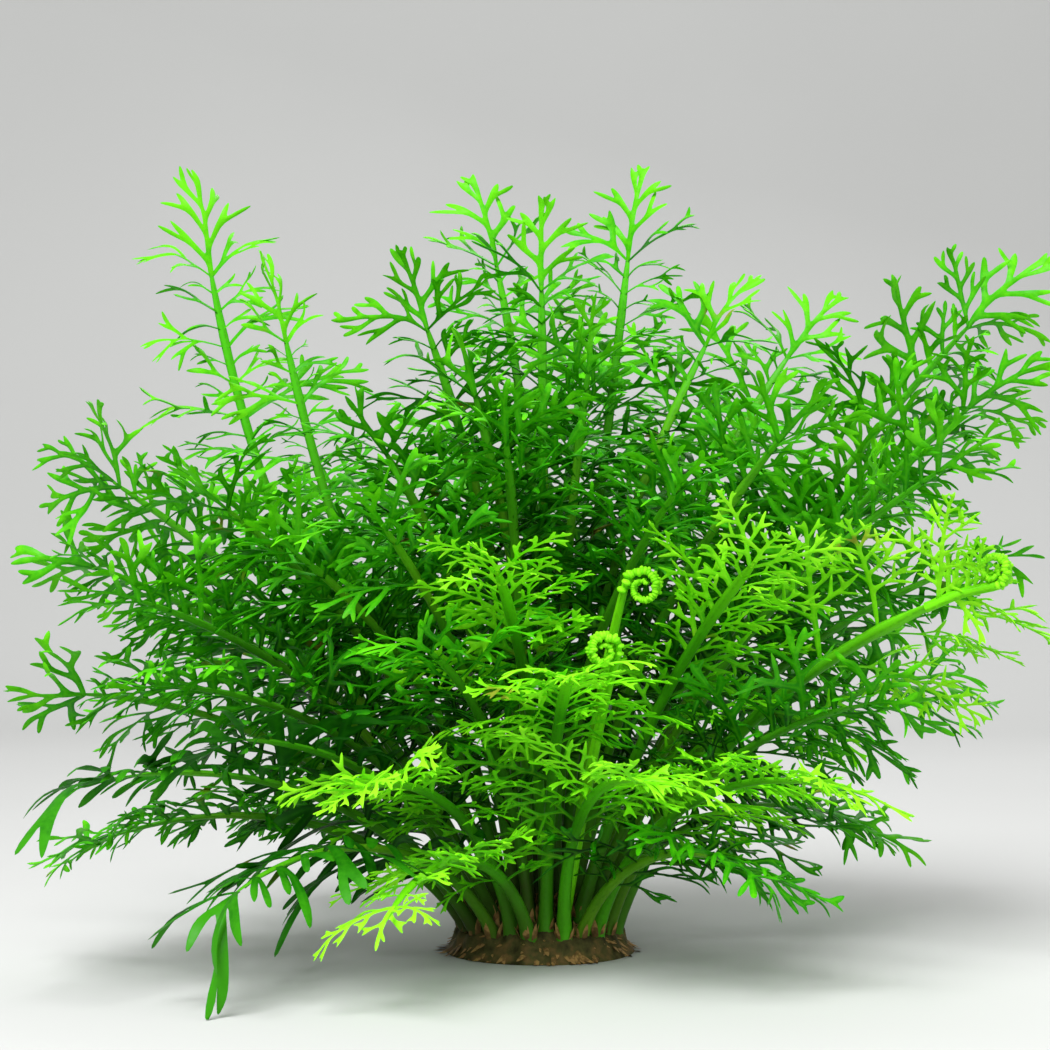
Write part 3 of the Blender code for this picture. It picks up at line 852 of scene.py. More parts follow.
def grow_lobe(sprig, bud, length, turn, growth, rng, width):
    """One narrow lobe with a rounded tip, waisted where it leaves the strip."""
    lift, roll = rng.uniform(-1, 1, 2) * growth.limp
    blunt = rng.uniform(*BLUNTNESS)
    steps = 1 + (length > LONG_LOBE) + (length > VERY_LONG_LOBE)
    for step in range(1, steps + 1):
        share = step / steps
        wide = width * (growth.lobe_width if step < steps else growth.tip * blunt)
        reach = bud.reach + (1 - bud.reach) * share
        bud = sprig.draw(bud, length / steps, wide, reach, turn, lift, roll).end
        turn = rng.uniform(-BEND, BEND)
        lift -= growth.limp * LOBE_DROOP
        roll = rng.uniform(-1, 1) * growth.limp * LOBE_ROLL


def grow_pinnule(sprig, bud, length, turn, growth, rng, width):
    """A side branch: a short neck, lobes on alternate sides, and a last lobe at the end."""
    back = -BACK_BEND if turn > 0 else BACK_BEND
    lift, roll = rng.uniform(-1, 1, 2) * growth.limp
    neck = length * NECK + growth.segment * NECK_SEGMENTS
    count = int(np.clip(round((length * LOBED_SHARE - neck) / growth.segment), 0, growth.most))
    reach = bud.reach + NEXT_REACH
    strip = sprig.draw(bud, neck, growth.lobe_width * width, reach, turn, lift, roll)
    first = rng.choice((-1, 1))
    for number in range(count):
        share = (number + 1) / (count + 1)
        reach = bud.reach + NEXT_REACH + (LOBED_REACH - bud.reach) * share * LOBED_REACH_SHARE
        bend = rng.uniform(-BEND, BEND) + back
        wide = growth.lobe_width * width * PINNULE_WIDER
        if growth.segment > growth.lobe_foot:
            strip = sprig.draw(strip.end, growth.segment - growth.lobe_foot, wide, reach)
        strip = sprig.draw(strip.end, growth.lobe_foot, wide, reach, bend, -growth.limp * PINNULE_DROOP)
        side = first if number % 2 else -first
        out = strip.left if side > 0 else strip.right
        lobe = length * growth.lobe * (1 - LOBE_SHORTENING * share) * rng.uniform(*LOBE_UNEVEN)
        turn = side * (growth.lobe_angle + rng.uniform(-BEND, BEND))
        grow_lobe(sprig, out, lobe, turn, growth, rng, width)
    rest = max(length * LAST_LOBE_SHARE, length - neck - growth.segment * count)
    turn = rng.uniform(-LAST_LOBE_BEND, LAST_LOBE_BEND)
    grow_lobe(sprig, strip.end, rest, turn, growth, rng, width)


def grow_pinna(kind, length, variant, at_tip, width):
    """The cage of a whole pinna: a winged axis with pinnules on alternate sides."""
    growth = GROWTHS[kind]
    smaller = (length / FULL_PINNA) ** SHORTENING
    rng = np.random.default_rng([list(GROWTHS).index(kind), length, variant, at_tip])
    stalk = TIP_STALK if at_tip else growth.stalk * length / FULL_PINNA
    sprig = Sprig(STALK_WIDTH, SUNK)
    strip = sprig.draw(sprig.root, stalk + SUNK, STALK_WIDTH, STALK_REACH)
    first = rng.choice((-1, 1))
    last = growth.last_pinnule * smaller
    nodes = max(1, round((length - stalk - last * LAST_PINNULE_SHARE) / growth.step))
    for node in range(nodes):
        share = node / max(1, nodes - 1)
        side = first if node % 2 else -first
        wide = growth.wing * (1 - WING_LOSS * share)
        bend = side * -ZIGZAG + rng.uniform(-WAVER, WAVER)
        reach = AXIS_REACH[0] + AXIS_REACH[1] * share
        waver = rng.uniform(-WAVER, WAVER)
        strip = sprig.draw(strip.end, growth.step - growth.foot, wide, reach, bend, waver)
        strip = sprig.draw(strip.end, growth.foot, wide, reach)
        pinnule = growth.pinnule * smaller + (last - growth.pinnule * smaller) * share**PINNULE_CURVE
        pinnule *= rng.uniform(*PINNULE_UNEVEN) * (FIRST_PINNULE if node == 0 else 1.0)
        angle = growth.angle + (growth.last_angle - growth.angle) * share
        angle += rng.uniform(-PINNULE_TURN, PINNULE_TURN)
        out = strip.left if side > 0 else strip.right
        grow_pinnule(sprig, out, pinnule, side * angle, growth, rng, width)
    rest = max(last, length - stalk - growth.step * nodes)
    grow_pinnule(sprig, strip.end, rest, rng.uniform(-TIP_BEND, TIP_BEND), growth, rng, width)
    return sprig.bm


def new_object(bm, name, materials=()):
    """Turns a finished bmesh into an object of the scene."""
    mesh = bpy.data.meshes.new(name)
    bm.to_mesh(mesh)
    bm.free()
    for material in materials:
        mesh.materials.append(material)
    made = bpy.data.objects.new(name, mesh)
    bpy.context.scene.collection.objects.link(made)
    return made


def two_sided(cage, name, thickness):
    """Rounds a cage of strips with one subdivision, and gives it two sides that meet along its rim."""
    bmesh.ops.recalc_face_normals(cage, faces=cage.faces)
    obj = new_object(cage, name)
    mesh = obj.data
    rounding = obj.modifiers.new("Rounding", "SUBSURF")
    rounding.levels = rounding.render_levels = 1
    rounded = bpy.data.meshes.new_from_object(obj.evaluated_get(bpy.context.evaluated_depsgraph_get()))
    bpy.data.objects.remove(obj)
    bpy.data.meshes.remove(mesh)
    bm = bmesh.new()
    bm.from_mesh(rounded)
    rim = bm.verts.layers.float.new("leaf_rim")
    for vert in bm.verts:
        vert[rim] = float(vert.is_boundary)
    for edge in bm.edges:
        edge.smooth = not edge.is_boundary
    lift = {vert: vert.normal * thickness / 2 for vert in bm.verts if not vert.is_boundary}
    copied = bmesh.ops.duplicate(bm, geom=bm.verts[:] + bm.edges[:] + bm.faces[:])
    for vert, offset in lift.items():
        copied["vert_map"][vert].co -= offset
        vert.co += offset
    other_side = [item for item in copied["geom"] if isinstance(item, bmesh.types.BMFace)]
    bmesh.ops.reverse_faces(bm, faces=other_side)
    bmesh.ops.remove_doubles(bm, verts=bm.verts, dist=WELD)
    for face in bm.faces:
        face.smooth = True
    bm.to_mesh(rounded)
    bm.free()
    return rounded


@lru_cache(maxsize=None)
def pinna_mesh(kind, length, variant, at_tip):
    """The finished mesh of a grown pinna, in millimetres along +X, and its points."""
    sizes = bpy.context.scene.sprite_sizes
    cage = grow_pinna(kind, length, variant, at_tip, sizes.lobe_width)
    mesh = two_sided(cage, f"{kind}_pinna_{length}_{variant}", sizes.blade / MM)
    return mesh, mesh_points(mesh)


def mesh_points(mesh):
    points = np.empty(len(mesh.vertices) * 3, np.float32)
    mesh.vertices.foreach_get("co", points)
    return points.reshape(-1, 3).astype(float)


def add_leafage(bm, mesh, points, lights):
    """Joins a copy of a grown mesh to the frond, at these points and with this light at each."""
    copy = mesh.copy()
    copy.vertices.foreach_set("co", points.astype(np.float32).ravel())
    attribute = copy.attributes.new("leaf_light", "FLOAT", "POINT")
    attribute.data.foreach_set("value", lights.astype(np.float32))
    bm.from_mesh(copy)
    bpy.data.meshes.remove(copy)


def lay_pinna(bm, pinna, kind, rng, lighter, at_tip=False):
    """Bends a grown pinna along a planned one: twisted, swept sideways, waved and cupped a little."""
    size = min(PINNA_LENGTHS, key=lambda length: abs(length - pinna.length / MM))
    variant = int(rng.integers(bpy.context.scene.sprite_sizes.variants))
    mesh, grown = pinna_mesh(kind, size, variant, at_tip)
    x, y, z = grown.T * (pinna.length / size)
    share = x / pinna.length
    twist = share * math.radians(TWIST) * rng.uniform(-1, 1)
    twist = twist + math.radians(TILT) * rng.uniform(-1, 1)
    y, z = y * np.cos(twist) - z * np.sin(twist), y * np.sin(twist) + z * np.cos(twist)
    y = y + rng.uniform(-1, 1) * SWEEP * pinna.length * share**2
    z = z + rng.uniform(-1, 1) * WAVE * pinna.length * np.sin(share * math.pi * rng.uniform(*WAVES))
    z = z - rng.uniform(*CUPPED) * CUP * y**2 / pinna.length
    arc = 2 * pinna.sag * share * (1 - share)
    fall = pinna.sag * np.clip(share, 0, None) ** 2
    points = np.array(pinna.foot) + np.outer(x, pinna.direction) + np.outer(y, pinna.across)
    points += np.outer(z + arc, pinna.facing) - np.outer(fall, UP)
    points[:, 2] = np.maximum(points[:, 2], LEAST_HEIGHT)
    # Painted light and shade by where the points lie, lighter for lighter kinds, and uneven from pinna to
    # pinna
    add_leafage(bm, mesh, points, painted_light_and_shade(points) + lighter + rng.uniform(-1, 1) * UNEVEN_LIGHT)


def drawn_out(bm, face):
    """The new end of an extruded face. A face that stood alone stays behind as the cap of the other end."""
    if all(edge.is_boundary for edge in face.edges):
        made = bmesh.ops.extrude_face_region(bm, geom=[face], use_keep_orig=True)["geom"]
        return next(item for item in made if isinstance(item, bmesh.types.BMFace))
    return bmesh.ops.extrude_discrete_faces(bm, faces=[face])["faces"][0]


def draw_stalk(bm, rings):
    """Draws a round closed stalk, where every second corner of its rings is a rib. Gives its vertices."""
    made = bmesh.ops.create_circle(bm, cap_ends=True, radius=rings[0].half_across, segments=STIPE_SIDES)
    face = made["verts"][0].link_faces[0]
    verts = list(made["verts"])
    for number, ring in enumerate(rings):
        if number:
            face = drawn_out(bm, face)
            verts += face.verts
        for i, corner in enumerate(face.verts):
            angle = 2 * math.pi * i / STIPE_SIDES
            corner.co = ring.middle + ring.across * math.cos(angle) * ring.half_across
            corner.co += ring.above * math.sin(angle) * ring.half_above
            corner[bm.verts.layers.float["leaf_rim"]] = i % 2
    faces = {face for vert in verts for face in vert.link_faces}
    bmesh.ops.recalc_face_normals(bm, faces=list(faces))
    for face in faces:
        face.smooth = len(face.verts) == 4
        face.material_index = 1
    return verts


def mark(bm, vert, light, reach):
    """Sets how light a point is, and how far towards a tip it counts as."""
    vert[bm.verts.layers.float["leaf_light"]] = light
    vert[bm.verts.layers.float["leaf_reach"]] = reach


def swelling(share, places):
    """How much thicker a stipe is next to the places where pinnae leave it."""
    return 1 + NODE_SWELLING * sum(math.exp(-(((share - place) / NODE_REACH) ** 2)) for place in places)


def draw_stipe(bm, frond):
    """The stipe, round at its foot and flatter above, where it is winged and ends inside the last pinna."""
    places = [frond.node_share(pair) for pair in range(frond.pairs)]
    rings = []
    for step in range(STIPE_RINGS + 1):
        share = LAST_NODE * STIPE_END * step / STIPE_RINGS
        _, across, above = frond.stipe.axes(share)
        thicker = swelling(share, places) + FOOT_FLARE * math.exp(-share / FOOT_REACH)
        half = stipe_half_width(frond.kind, share) * thicker
        winged = max(0.0, share - frond.kind.start)
        rings.append(Ring(frond.stipe.at(share), across, above, half * (1 + winged), half * (1 - winged)))
    for back, narrower in enumerate(STIPE_ENDING, 1):
        end = rings[-back]
        sizes = {"half_across": end.half_across * narrower, "half_above": end.half_above * narrower / 2}
        rings[-back] = end._replace(**sizes)
    sunk = rings[0]._replace(middle=rings[0].middle - UP * STIPE_SUNK)
    draw_stalk(bm, [sunk] + rings)
    # Painted light and shade along the stipe, the same as on the leafage
    lights = painted_light_and_shade(np.array([vert.co for vert in bm.verts]))
    for vert, light in zip(bm.verts, lights):
        mark(bm, vert, light, (vert.co - frond.stipe.foot).length / STIPE_GREEN_FROM)


def painted_light_and_shade(points):
    """Painted light and shade at these points: lightest high up and on the outside, darkest deep inside."""
    outward = np.linalg.norm((points - LIGHT_CENTRE) / LIGHT_SIZE, axis=1)
    return np.clip(LIGHT_INSIDE + outward + points[:, 2] / LIGHT_HEIGHT, 0.0, MOST_LIGHT)


def new_frond_bmesh():
    bm = bmesh.new()
    for layer in ("leaf_reach", "leaf_rim", "leaf_light"):
        bm.verts.layers.float.new(layer)
    return bm


def finish_piece(bm, name, nodes, materials):
    """Makes a piece of the plant, which stands for its solids and takes its finish from a slot."""
    piece = new_object(bm, name, materials)
    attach(piece, "root")
    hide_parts(*nodes)


def dress_frond(frond, leafage):
    """A whole frond: its stipe, the pinnae planned on it, the small ones between them, and the last one."""
    dress = DRESSES[leafage]
    rng = np.random.default_rng(FROND_SEED + frond.number)
    bm = new_frond_bmesh()
    draw_stipe(bm, frond)
    for pinna in list(frond.pinnae.values()) + frond.between:
        lay_pinna(bm, pinna, leafage, rng, dress.lighter)
    if frond.kind is KINDS["great"]:
        coil_tip(bm, frond, rng, dress.lighter + TIP_LIGHTER)
    else:
        lay_pinna(bm, frond.last_pinna(), leafage, rng, dress.lighter + TIP_LIGHTER, at_tip=True)
    materials = [finishes()[dress.leaf], finishes()[dress.stipe]]
    finish_piece(bm, f"{frond.name}_leaf", [frond.name], materials)


def smooth_path(points, widths, steps):
    """A smooth curve through the points, with the width at each of its own points."""
    found = []
    for i in range(len(points) - 1):
        before, start = points[max(i - 1, 0)], points[i]
        end, after = points[i + 1], points[min(i + 2, len(points) - 1)]
        for step in range(steps):
            t = step / steps
            curve = start * 2 + (end - before) * t + (before * 2 - start * 5 + end * 4 - after) * t**2
            curve += (start * 3 - before - end * 3 + after) * t**3
            found.append((curve / 2, widths[i] * (1 - t) + widths[i + 1] * t))
    found.append((points[-1], widths[-1]))
    return found


def coil_rings(path, across):
    """Rings along a path that lies in one plane, with across square to it."""
    rings = []
    for i, (point, width) in enumerate(path):
        along = (path[min(i + 1, len(path) - 1)][0] - path[max(i - 1, 0)][0]).normalized()
        side = (across - along * across.dot(along)).normalized()
        rings.append(Ring(point, side, along.cross(side), width, width))
    return rings


def add_bud(bm, middle, axes, sizes, light):
    """A small rounded lump: a rolled-up pinna."""
    turn = Matrix([axis * size for axis, size in zip(axes, sizes)]).transposed().to_4x4()
    matrix = Matrix.Translation(middle) @ turn
    made = bmesh.ops.create_icosphere(bm, subdivisions=BUD_FINENESS, radius=1.0, matrix=matrix)
    for vert in made["verts"]:
        mark(bm, vert, light, BUD_REACH)
    for face in {face for vert in made["verts"] for face in vert.link_faces}:
        face.smooth = True
        face.material_index = 0


def draw_coil(bm, points, widths, across, first, rng):
    """A stalk that rolls up, with rolled pinnae in two rows along it from this one of its points on."""
    rings = coil_rings(smooth_path(points, widths, COIL_SMOOTHING), across)
    for vert in draw_stalk(bm, rings):
        mark(bm, vert, COIL_LIGHT, 1.0)
    first *= COIL_SMOOTHING
    for number, ring in enumerate(rings[first:-1]):
        part = number / (len(rings) - first)
        size = BUD_SIZE * (1 - BUD_SHRINKING * part) * rng.uniform(*BUD_UNEVEN)
        sizes = [size * share for share in BUD_SHAPE]
        along = ring.across.cross(ring.above)
        for hand in (-1, 1):
            middle = ring.middle + ring.across * hand * (ring.half_across + size * BUD_OUT)
            middle += ring.above * rng.uniform(-BUD_RISE, BUD_RISE) * size
            axes = (along, ring.across, ring.above)
            add_bud(bm, middle, axes, sizes, rng.uniform(*BUD_LIGHT))


def build_crosier_piece(frond, materials):
    """A rolled frond: its stalk, the coil, and rolled pinnae in two rows along the coil."""
    rng = np.random.default_rng(CROSIER_SEED + int(frond.name[-1]))
    bm = new_frond_bmesh()
    draw_coil(bm, frond.points, frond.widths, frond.across, len(STALK_POINTS) + 1, rng)
    finish_piece(bm, f"{frond.name}_coil", [frond.name], materials)


def coil_tip(bm, frond, rng, lighter):
    """The coil at the end of a frond that is still unrolling, with small bright pinnae before it."""
    along, across, above = frond.stipe.axes(LAST_NODE)
    reach = frond.stipe.at(LAST_NODE)
    rest = (frond.stipe.tip - reach).length
    across = along.cross(UP).normalized()
    rise = across.cross(along)
    middle = reach + along * (rest - TIP_COIL) + rise * TIP_COIL * TIP_COIL_RISE
    points = [reach + along * rest * share for share in TIP_STALK_SHARES]
    for step in range(COIL_STEPS + 1):
        part = step / COIL_STEPS
        angle = -math.pi / 2 + 2 * math.pi * COIL_TURNS * part
        radius = TIP_COIL * (1 - (1 - COIL_HOLE) * part)
        points.append(middle + (along * math.cos(angle) + rise * math.sin(angle)) * radius)
    widths = np.linspace(stipe_half_width(frond.kind, LAST_NODE), TIP_COIL * COIL_TAPER, len(points))
    draw_coil(bm, points, list(widths), across, len(TIP_STALK_SHARES), rng)
    for number in range(TIP_PINNAE):
        part = number / TIP_PINNAE
        hand = 1 if number % 2 else -1
        foot = reach + along * rest * TIP_PINNAE_REACH * part
        angle = hand * (TIP_ANGLES[0] - TIP_ANGLES[1] * part)
        heading = turned(along, above, angle + rng.uniform(-TIP_TURN, TIP_TURN))
        heading = turned(heading, along, rng.uniform(-TIP_ROLL, TIP_ROLL))
        length = rest * rng.uniform(*TIP_PINNA_SHARE)
        lay_pinna(bm, Pinna(foot, heading, above, length, 0.0), "young", rng, lighter)


def grow_scale():
    """A papery pointed scale, in millimetres along +X."""
    sprig = Sprig(SCALE_FOOT, SCALE_BACK)
    end = sprig.root
    for length, width, reach, lift in SCALE_STRIPS:
        end = sprig.draw(end, length, width, reach, lift=lift).end
    return sprig.bm


def lay_scale(bm, scale, foot, heading, side, rng):
    """Joins a scale to the crown: where it is fixed, which way it points and which way is across it."""
    grown = mesh_points(scale) * MM
    upward = heading.cross(side)
    points = np.outer(grown[:, 0], heading) + np.outer(grown[:, 1], side) + np.outer(grown[:, 2], upward)
    points = points * rng.uniform(*SCALE_SIZES) + np.array(foot)
    points[:, 2] = np.maximum(points[:, 2], LEAST_HEIGHT)
    add_leafage(bm, scale, points, np.full(len(points), rng.uniform(0, 1)))


def crown_dome(bm, feet):
    """A low dome cut flat below, lumpy, with a collar round each stipe's foot."""
    centre = Vector((0.0, 0.0, CROWN_HEIGHT - CROWN_SPHERE))
    place = Matrix.Translation(centre)
    bmesh.ops.create_icosphere(bm, subdivisions=CROWN_FINENESS, radius=CROWN_SPHERE, matrix=place)
    geom = bm.verts[:] + bm.edges[:] + bm.faces[:]
    cut = bmesh.ops.bisect_plane(bm, geom=geom, plane_co=(0, 0, 0), plane_no=UP, clear_inner=True)
    rim = [item for item in cut["geom_cut"] if isinstance(item, bmesh.types.BMEdge)]
    bmesh.ops.contextual_create(bm, geom=rim)
    bm.normal_update()
    for vert in bm.verts:
        if vert.co.z < LEAST_HEIGHT:
            continue
        apart = np.linalg.norm(feet - np.array(vert.co.xy), axis=1).min()
        rise = COLLAR_HEIGHT * math.exp(-((apart / COLLAR_REACH) ** 2))
        rise += LUMP_HEIGHT * noise.noise(vert.co / LUMP_SIZE)
        vert.co += vert.normal * rise * min(1.0, vert.co.z / COLLAR_REACH)
        # Painted shade: the crown is darker next to the stipes' feet, in its folds
        vert[bm.verts.layers.float["leaf_light"]] = apart / COLLAR_REACH / 2
    for face in bm.faces:
        face.smooth = len(face.verts) <= 4


def lay_crown_scales(bm, scale, rng):
    """Papery scales that lie all over the dome and point outward and down."""
    centre = Vector((0.0, 0.0, CROWN_HEIGHT - CROWN_SPHERE))
    for number in range(bpy.context.scene.sprite_sizes.scales):
        reach = CROWN_RADIUS * math.sqrt(rng.uniform(*SCALE_BAND))
        angle = number * GOLDEN_ANGLE + rng.uniform(-SCALE_SHIFT, SCALE_SHIFT)
        foot = Vector((reach * math.cos(angle), reach * math.sin(angle), crown_height(reach)))
        normal = (foot - centre).normalized()
        outward = -(normal.cross(UP).cross(normal)).normalized()
        outward = turned(outward, normal, rng.uniform(-SCALE_TURN, SCALE_TURN))
        heading = turned(outward, normal.cross(outward), -rng.uniform(*SCALE_RISE))
        lay_scale(bm, scale, foot, heading, normal.cross(heading).normalized(), rng)


def lay_foot_scales(bm, scale, feet, rng):
    """Papery scales that stand up round the foot of each stipe."""
    for x, y in feet:
        standing = Vector((x, y, 0.0))
        standing.z = crown_height(standing.length)
        for number in range(FOOT_SCALES):
            turn = 360 * number / FOOT_SCALES + rng.uniform(-FOOT_SCALE_TURN, FOOT_SCALE_TURN)
            outward = turned(Vector((1.0, 0.0, 0.0)), UP, turn)
            foot = standing + outward * STIPE_FOOT * FOOT_WIDTH + UP * rng.uniform(*FOOT_SCALE_HEIGHT) * MM
            heading = (UP + outward * rng.uniform(*FOOT_SCALE_LEAN)).normalized()
            lay_scale(bm, scale, foot, heading, outward.cross(UP).normalized(), rng)


def build_crown_piece(fronds, rolled, materials):
    """The crown: its dome, and papery scales on it and round the stipes."""
    bm = new_frond_bmesh()
    feet = np.array([frond.stipe.foot.xy for frond in fronds] + [frond.points[0].xy for frond in rolled])
    crown_dome(bm, feet)
    rng = np.random.default_rng(CROWN_SEED)
    scale = two_sided(grow_scale(), "crown_scale", SCALE_THICKNESS)
    scale.materials.append(materials[0])
    for polygon in scale.polygons:
        polygon.material_index = 1
    lay_crown_scales(bm, scale, rng)
    lay_foot_scales(bm, scale, feet, rng)
    finish_piece(bm, "crown_stock", ["crown"], materials)


def toned(colour, share):
    """The colour made darker, or paler where the share is more than 1."""
    return tuple(min(1.0, value * share) for value in colour)


class Finish:
    """A material in the making."""

    def __init__(self, name, roughness):
        self.material = bpy.data.materials.new(name)
        self.material.use_nodes = True
        self.nodes = self.material.node_tree.nodes
        self.links = self.material.node_tree.links
        self.shader = self.nodes["Principled BSDF"]
        self.shader.inputs["Roughness"].default_value = roughness
        self.shader.inputs["Specular IOR Level"].default_value = SHEEN
        self.coordinates = self.nodes.new("ShaderNodeTexCoord").outputs["Object"]

    def noise(self, scale, detail, stretch=(1, 1, 1)):
        """Noise on the piece's own coordinates, scale per metre."""
        mapping = self.nodes.new("ShaderNodeMapping")
        mapping.inputs["Scale"].default_value = stretch
        self.links.new(self.coordinates, mapping.inputs["Vector"])
        node = self.nodes.new("ShaderNodeTexNoise")
        node.inputs["Scale"].default_value = scale
        node.inputs["Detail"].default_value = detail
        self.links.new(mapping.outputs["Vector"], node.inputs["Vector"])
        return node.outputs["Fac"]

    def uneven(self, scale, detail, onto):
        """A value that noise moves over the whole span."""
        return self.ranged(self.noise(scale, detail), MOST_NOISE, onto)

    def attribute(self, name):
        node = self.nodes.new("ShaderNodeAttribute")
        node.attribute_name = name
        return node.outputs["Fac"]

    def math(self, operation, first, second):
        node = self.nodes.new("ShaderNodeMath")
        node.operation = operation
        for socket, value in zip(node.inputs, (first, second)):
            if isinstance(value, bpy.types.NodeSocket):
                self.links.new(value, socket)
            else:
                socket.default_value = value
        return node.outputs[0]

    def ranged(self, value, between, onto):
        """The value, spread from one span onto another."""
        node = self.nodes.new("ShaderNodeMapRange")
        self.links.new(value, node.inputs["Value"])
        for name, number in zip(("From Min", "From Max", "To Min", "To Max"), (*between, *onto)):
            node.inputs[name].default_value = number
        return node.outputs["Result"]

    def ramp(self, value, places, colours):
        """Colours along the value, each at its place."""
        node = self.nodes.new("ShaderNodeValToRGB")
        elements = node.color_ramp.elements
        while len(elements) < len(places):
            elements.new(0.5)
        for element, place, colour in zip(elements, places, colours):
            element.position = place
            element.color = (*colour, 1.0)
        self.links.new(value, node.inputs["Fac"])
        return node.outputs["Color"]

    def blend(self, amount, first, colour):
        """From the first colour to another by the amount."""
        node = self.nodes.new("ShaderNodeMix")
        node.data_type = "RGBA"
        self.links.new(amount, node.inputs[MIX_AMOUNT])
        self.links.new(first, node.inputs[MIX_FIRST])
        node.inputs[MIX_SECOND].default_value = (*colour, 1.0)
        return node.outputs[MIX_RESULT]

    def bump(self, height, strength, distance):
        node = self.nodes.new("ShaderNodeBump")
        node.inputs["Strength"].default_value = strength
        node.inputs["Distance"].default_value = distance
        self.links.new(height, node.inputs["Height"])
        self.links.new(node.outputs["Normal"], self.shader.inputs["Normal"])

    def colour(self, colour):
        self.links.new(colour, self.shader.inputs["Base Color"])

    def let_light_through(self, colour, share):
        """Light also passes through the blade, in this colour."""
        through = self.nodes.new("ShaderNodeBsdfTranslucent")
        self.links.new(colour, through.inputs["Color"])
        both = self.nodes.new("ShaderNodeMixShader")
        both.inputs["Fac"].default_value = share
        self.links.new(self.shader.outputs["BSDF"], both.inputs[1])
        self.links.new(through.outputs["BSDF"], both.inputs[2])
        self.links.new(both.outputs["Shader"], self.nodes["Material Output"].inputs["Surface"])


def leaf_finish(name, shades, worn, roughness):
    """Satin leaf tissue, lighter towards the tips, mottled, with a pale midrib and worn spots."""
    finish = Finish(name, roughness)
    patches = finish.uneven(scale=90, detail=4.0, onto=(-0.15, 0.15))
    flecks = finish.uneven(scale=480, detail=3.0, onto=(-0.08, 0.08))
    # Painted light and shade: the leaf_light amount is low deep inside the plant and high up high and on its
    # outside
    amount = finish.math("ADD", finish.attribute("leaf_light"), finish.math("ADD", patches, flecks))
    lighter = finish.ranged(finish.attribute("leaf_reach"), between=(0.0, 1.0), onto=(-0.12, 0.22))
    amount = finish.math("ADD", amount, lighter)
    colour = finish.ramp(amount, places=(0.05, 0.38, 0.72, 1.0), colours=shades)
    rib = finish.ranged(finish.attribute("leaf_rim"), between=(0.0, 0.5), onto=(0.30, 0.0))
    colour = finish.blend(rib, colour, shades[-1])
    spots = finish.ranged(finish.noise(scale=38, detail=2.0), between=(0.70, 0.76), onto=(0.0, 0.75))
    colour = finish.blend(spots, colour, worn)
    finish.colour(colour)
    satin = finish.uneven(scale=260, detail=2.0, onto=(roughness - 0.08, roughness + 0.1))
    finish.links.new(satin, finish.shader.inputs["Roughness"])
    finish.bump(finish.noise(scale=1300, detail=2.0), strength=0.25, distance=0.2 * MM)
    finish.let_light_through(colour, share=0.32)
    return finish.material


def stipe_finish(name, foot, colour, pale, leaf, roughness):
    """Smooth stalks, ribbed, brownish at the foot, paler in places, and with painted light that makes them as
    green as the lit leaf high up.
    """
    finish = Finish(name, roughness)
    reach = finish.attribute("leaf_reach")
    height = finish.math("ADD", reach, finish.uneven(scale=40, detail=3.0, onto=(-0.08, 0.08)))
    tissue = finish.ramp(height, places=(0.0, 0.22, 1.0), colours=(foot, colour, colour))
    stretches = finish.ranged(finish.noise(scale=14, detail=2.0), between=(0.50, 0.72), onto=(0.0, 0.7))
    tissue = finish.blend(stretches, tissue, pale)
    # Painted light: the stipe takes the lit leaf's colour where it is high up and on the plant's outside
    painted_light_mask = finish.ranged(finish.attribute("leaf_light"), between=(0.35, 0.72), onto=(0.0, 0.65))
    tissue = finish.blend(painted_light_mask, tissue, leaf)
    grain = finish.noise(scale=600, detail=3.0)
    broken = finish.ranged(grain, between=MOST_NOISE, onto=(0.2, 1.0))
    ribs = finish.math("MULTIPLY", finish.attribute("leaf_rim"), broken)
    darker = finish.ranged(ribs, between=(0.3, 1.0), onto=(0.0, 0.45))
    finish.colour(finish.blend(darker, tissue, toned(colour, 0.5)))
    finish.bump(finish.math("ADD", ribs, grain), strength=0.3, distance=0.15 * MM)
    return finish.material


def crown_finish(name, colour, light):
    """Fibrous matte crown, with painted shade in its folds next to the stipes' feet."""
    finish = Finish(name, roughness=0.72)
    fibres = finish.noise(scale=260, detail=5.0)
    fold_shade = finish.ranged(finish.attribute("leaf_light"), between=(0.0, 1.0), onto=(-0.1, 0.1))
    mottle = finish.math("ADD", fibres, fold_shade)
    finish.colour(finish.ramp(mottle, places=(0.3, 0.52, 0.75), colours=(toned(colour, 0.35), colour, light)))
    finish.bump(finish.noise(scale=700, detail=5.0, stretch=(1, 1, 0.3)), strength=0.7, distance=0.6 * MM)
    return finish.material


def scale_finish(name, colour):
    """Papery brown scales, paler towards their tips."""
    finish = Finish(name, roughness=0.6)
    paler = finish.ranged(finish.attribute("leaf_reach"), between=(0.0, 1.0), onto=(0.2, 0.6))
    value = finish.math("ADD", paler, finish.noise(scale=500, detail=3.0))
    shades = (toned(colour, 0.4), colour, toned(colour, 2.2))
    finish.colour(finish.ramp(value, places=(0.5, 0.85, 1.0), colours=shades))
    finish.bump(finish.noise(scale=1600, detail=2.0, stretch=(1, 1, 0.2)), strength=0.4, distance=0.2 * MM)
    return finish.material


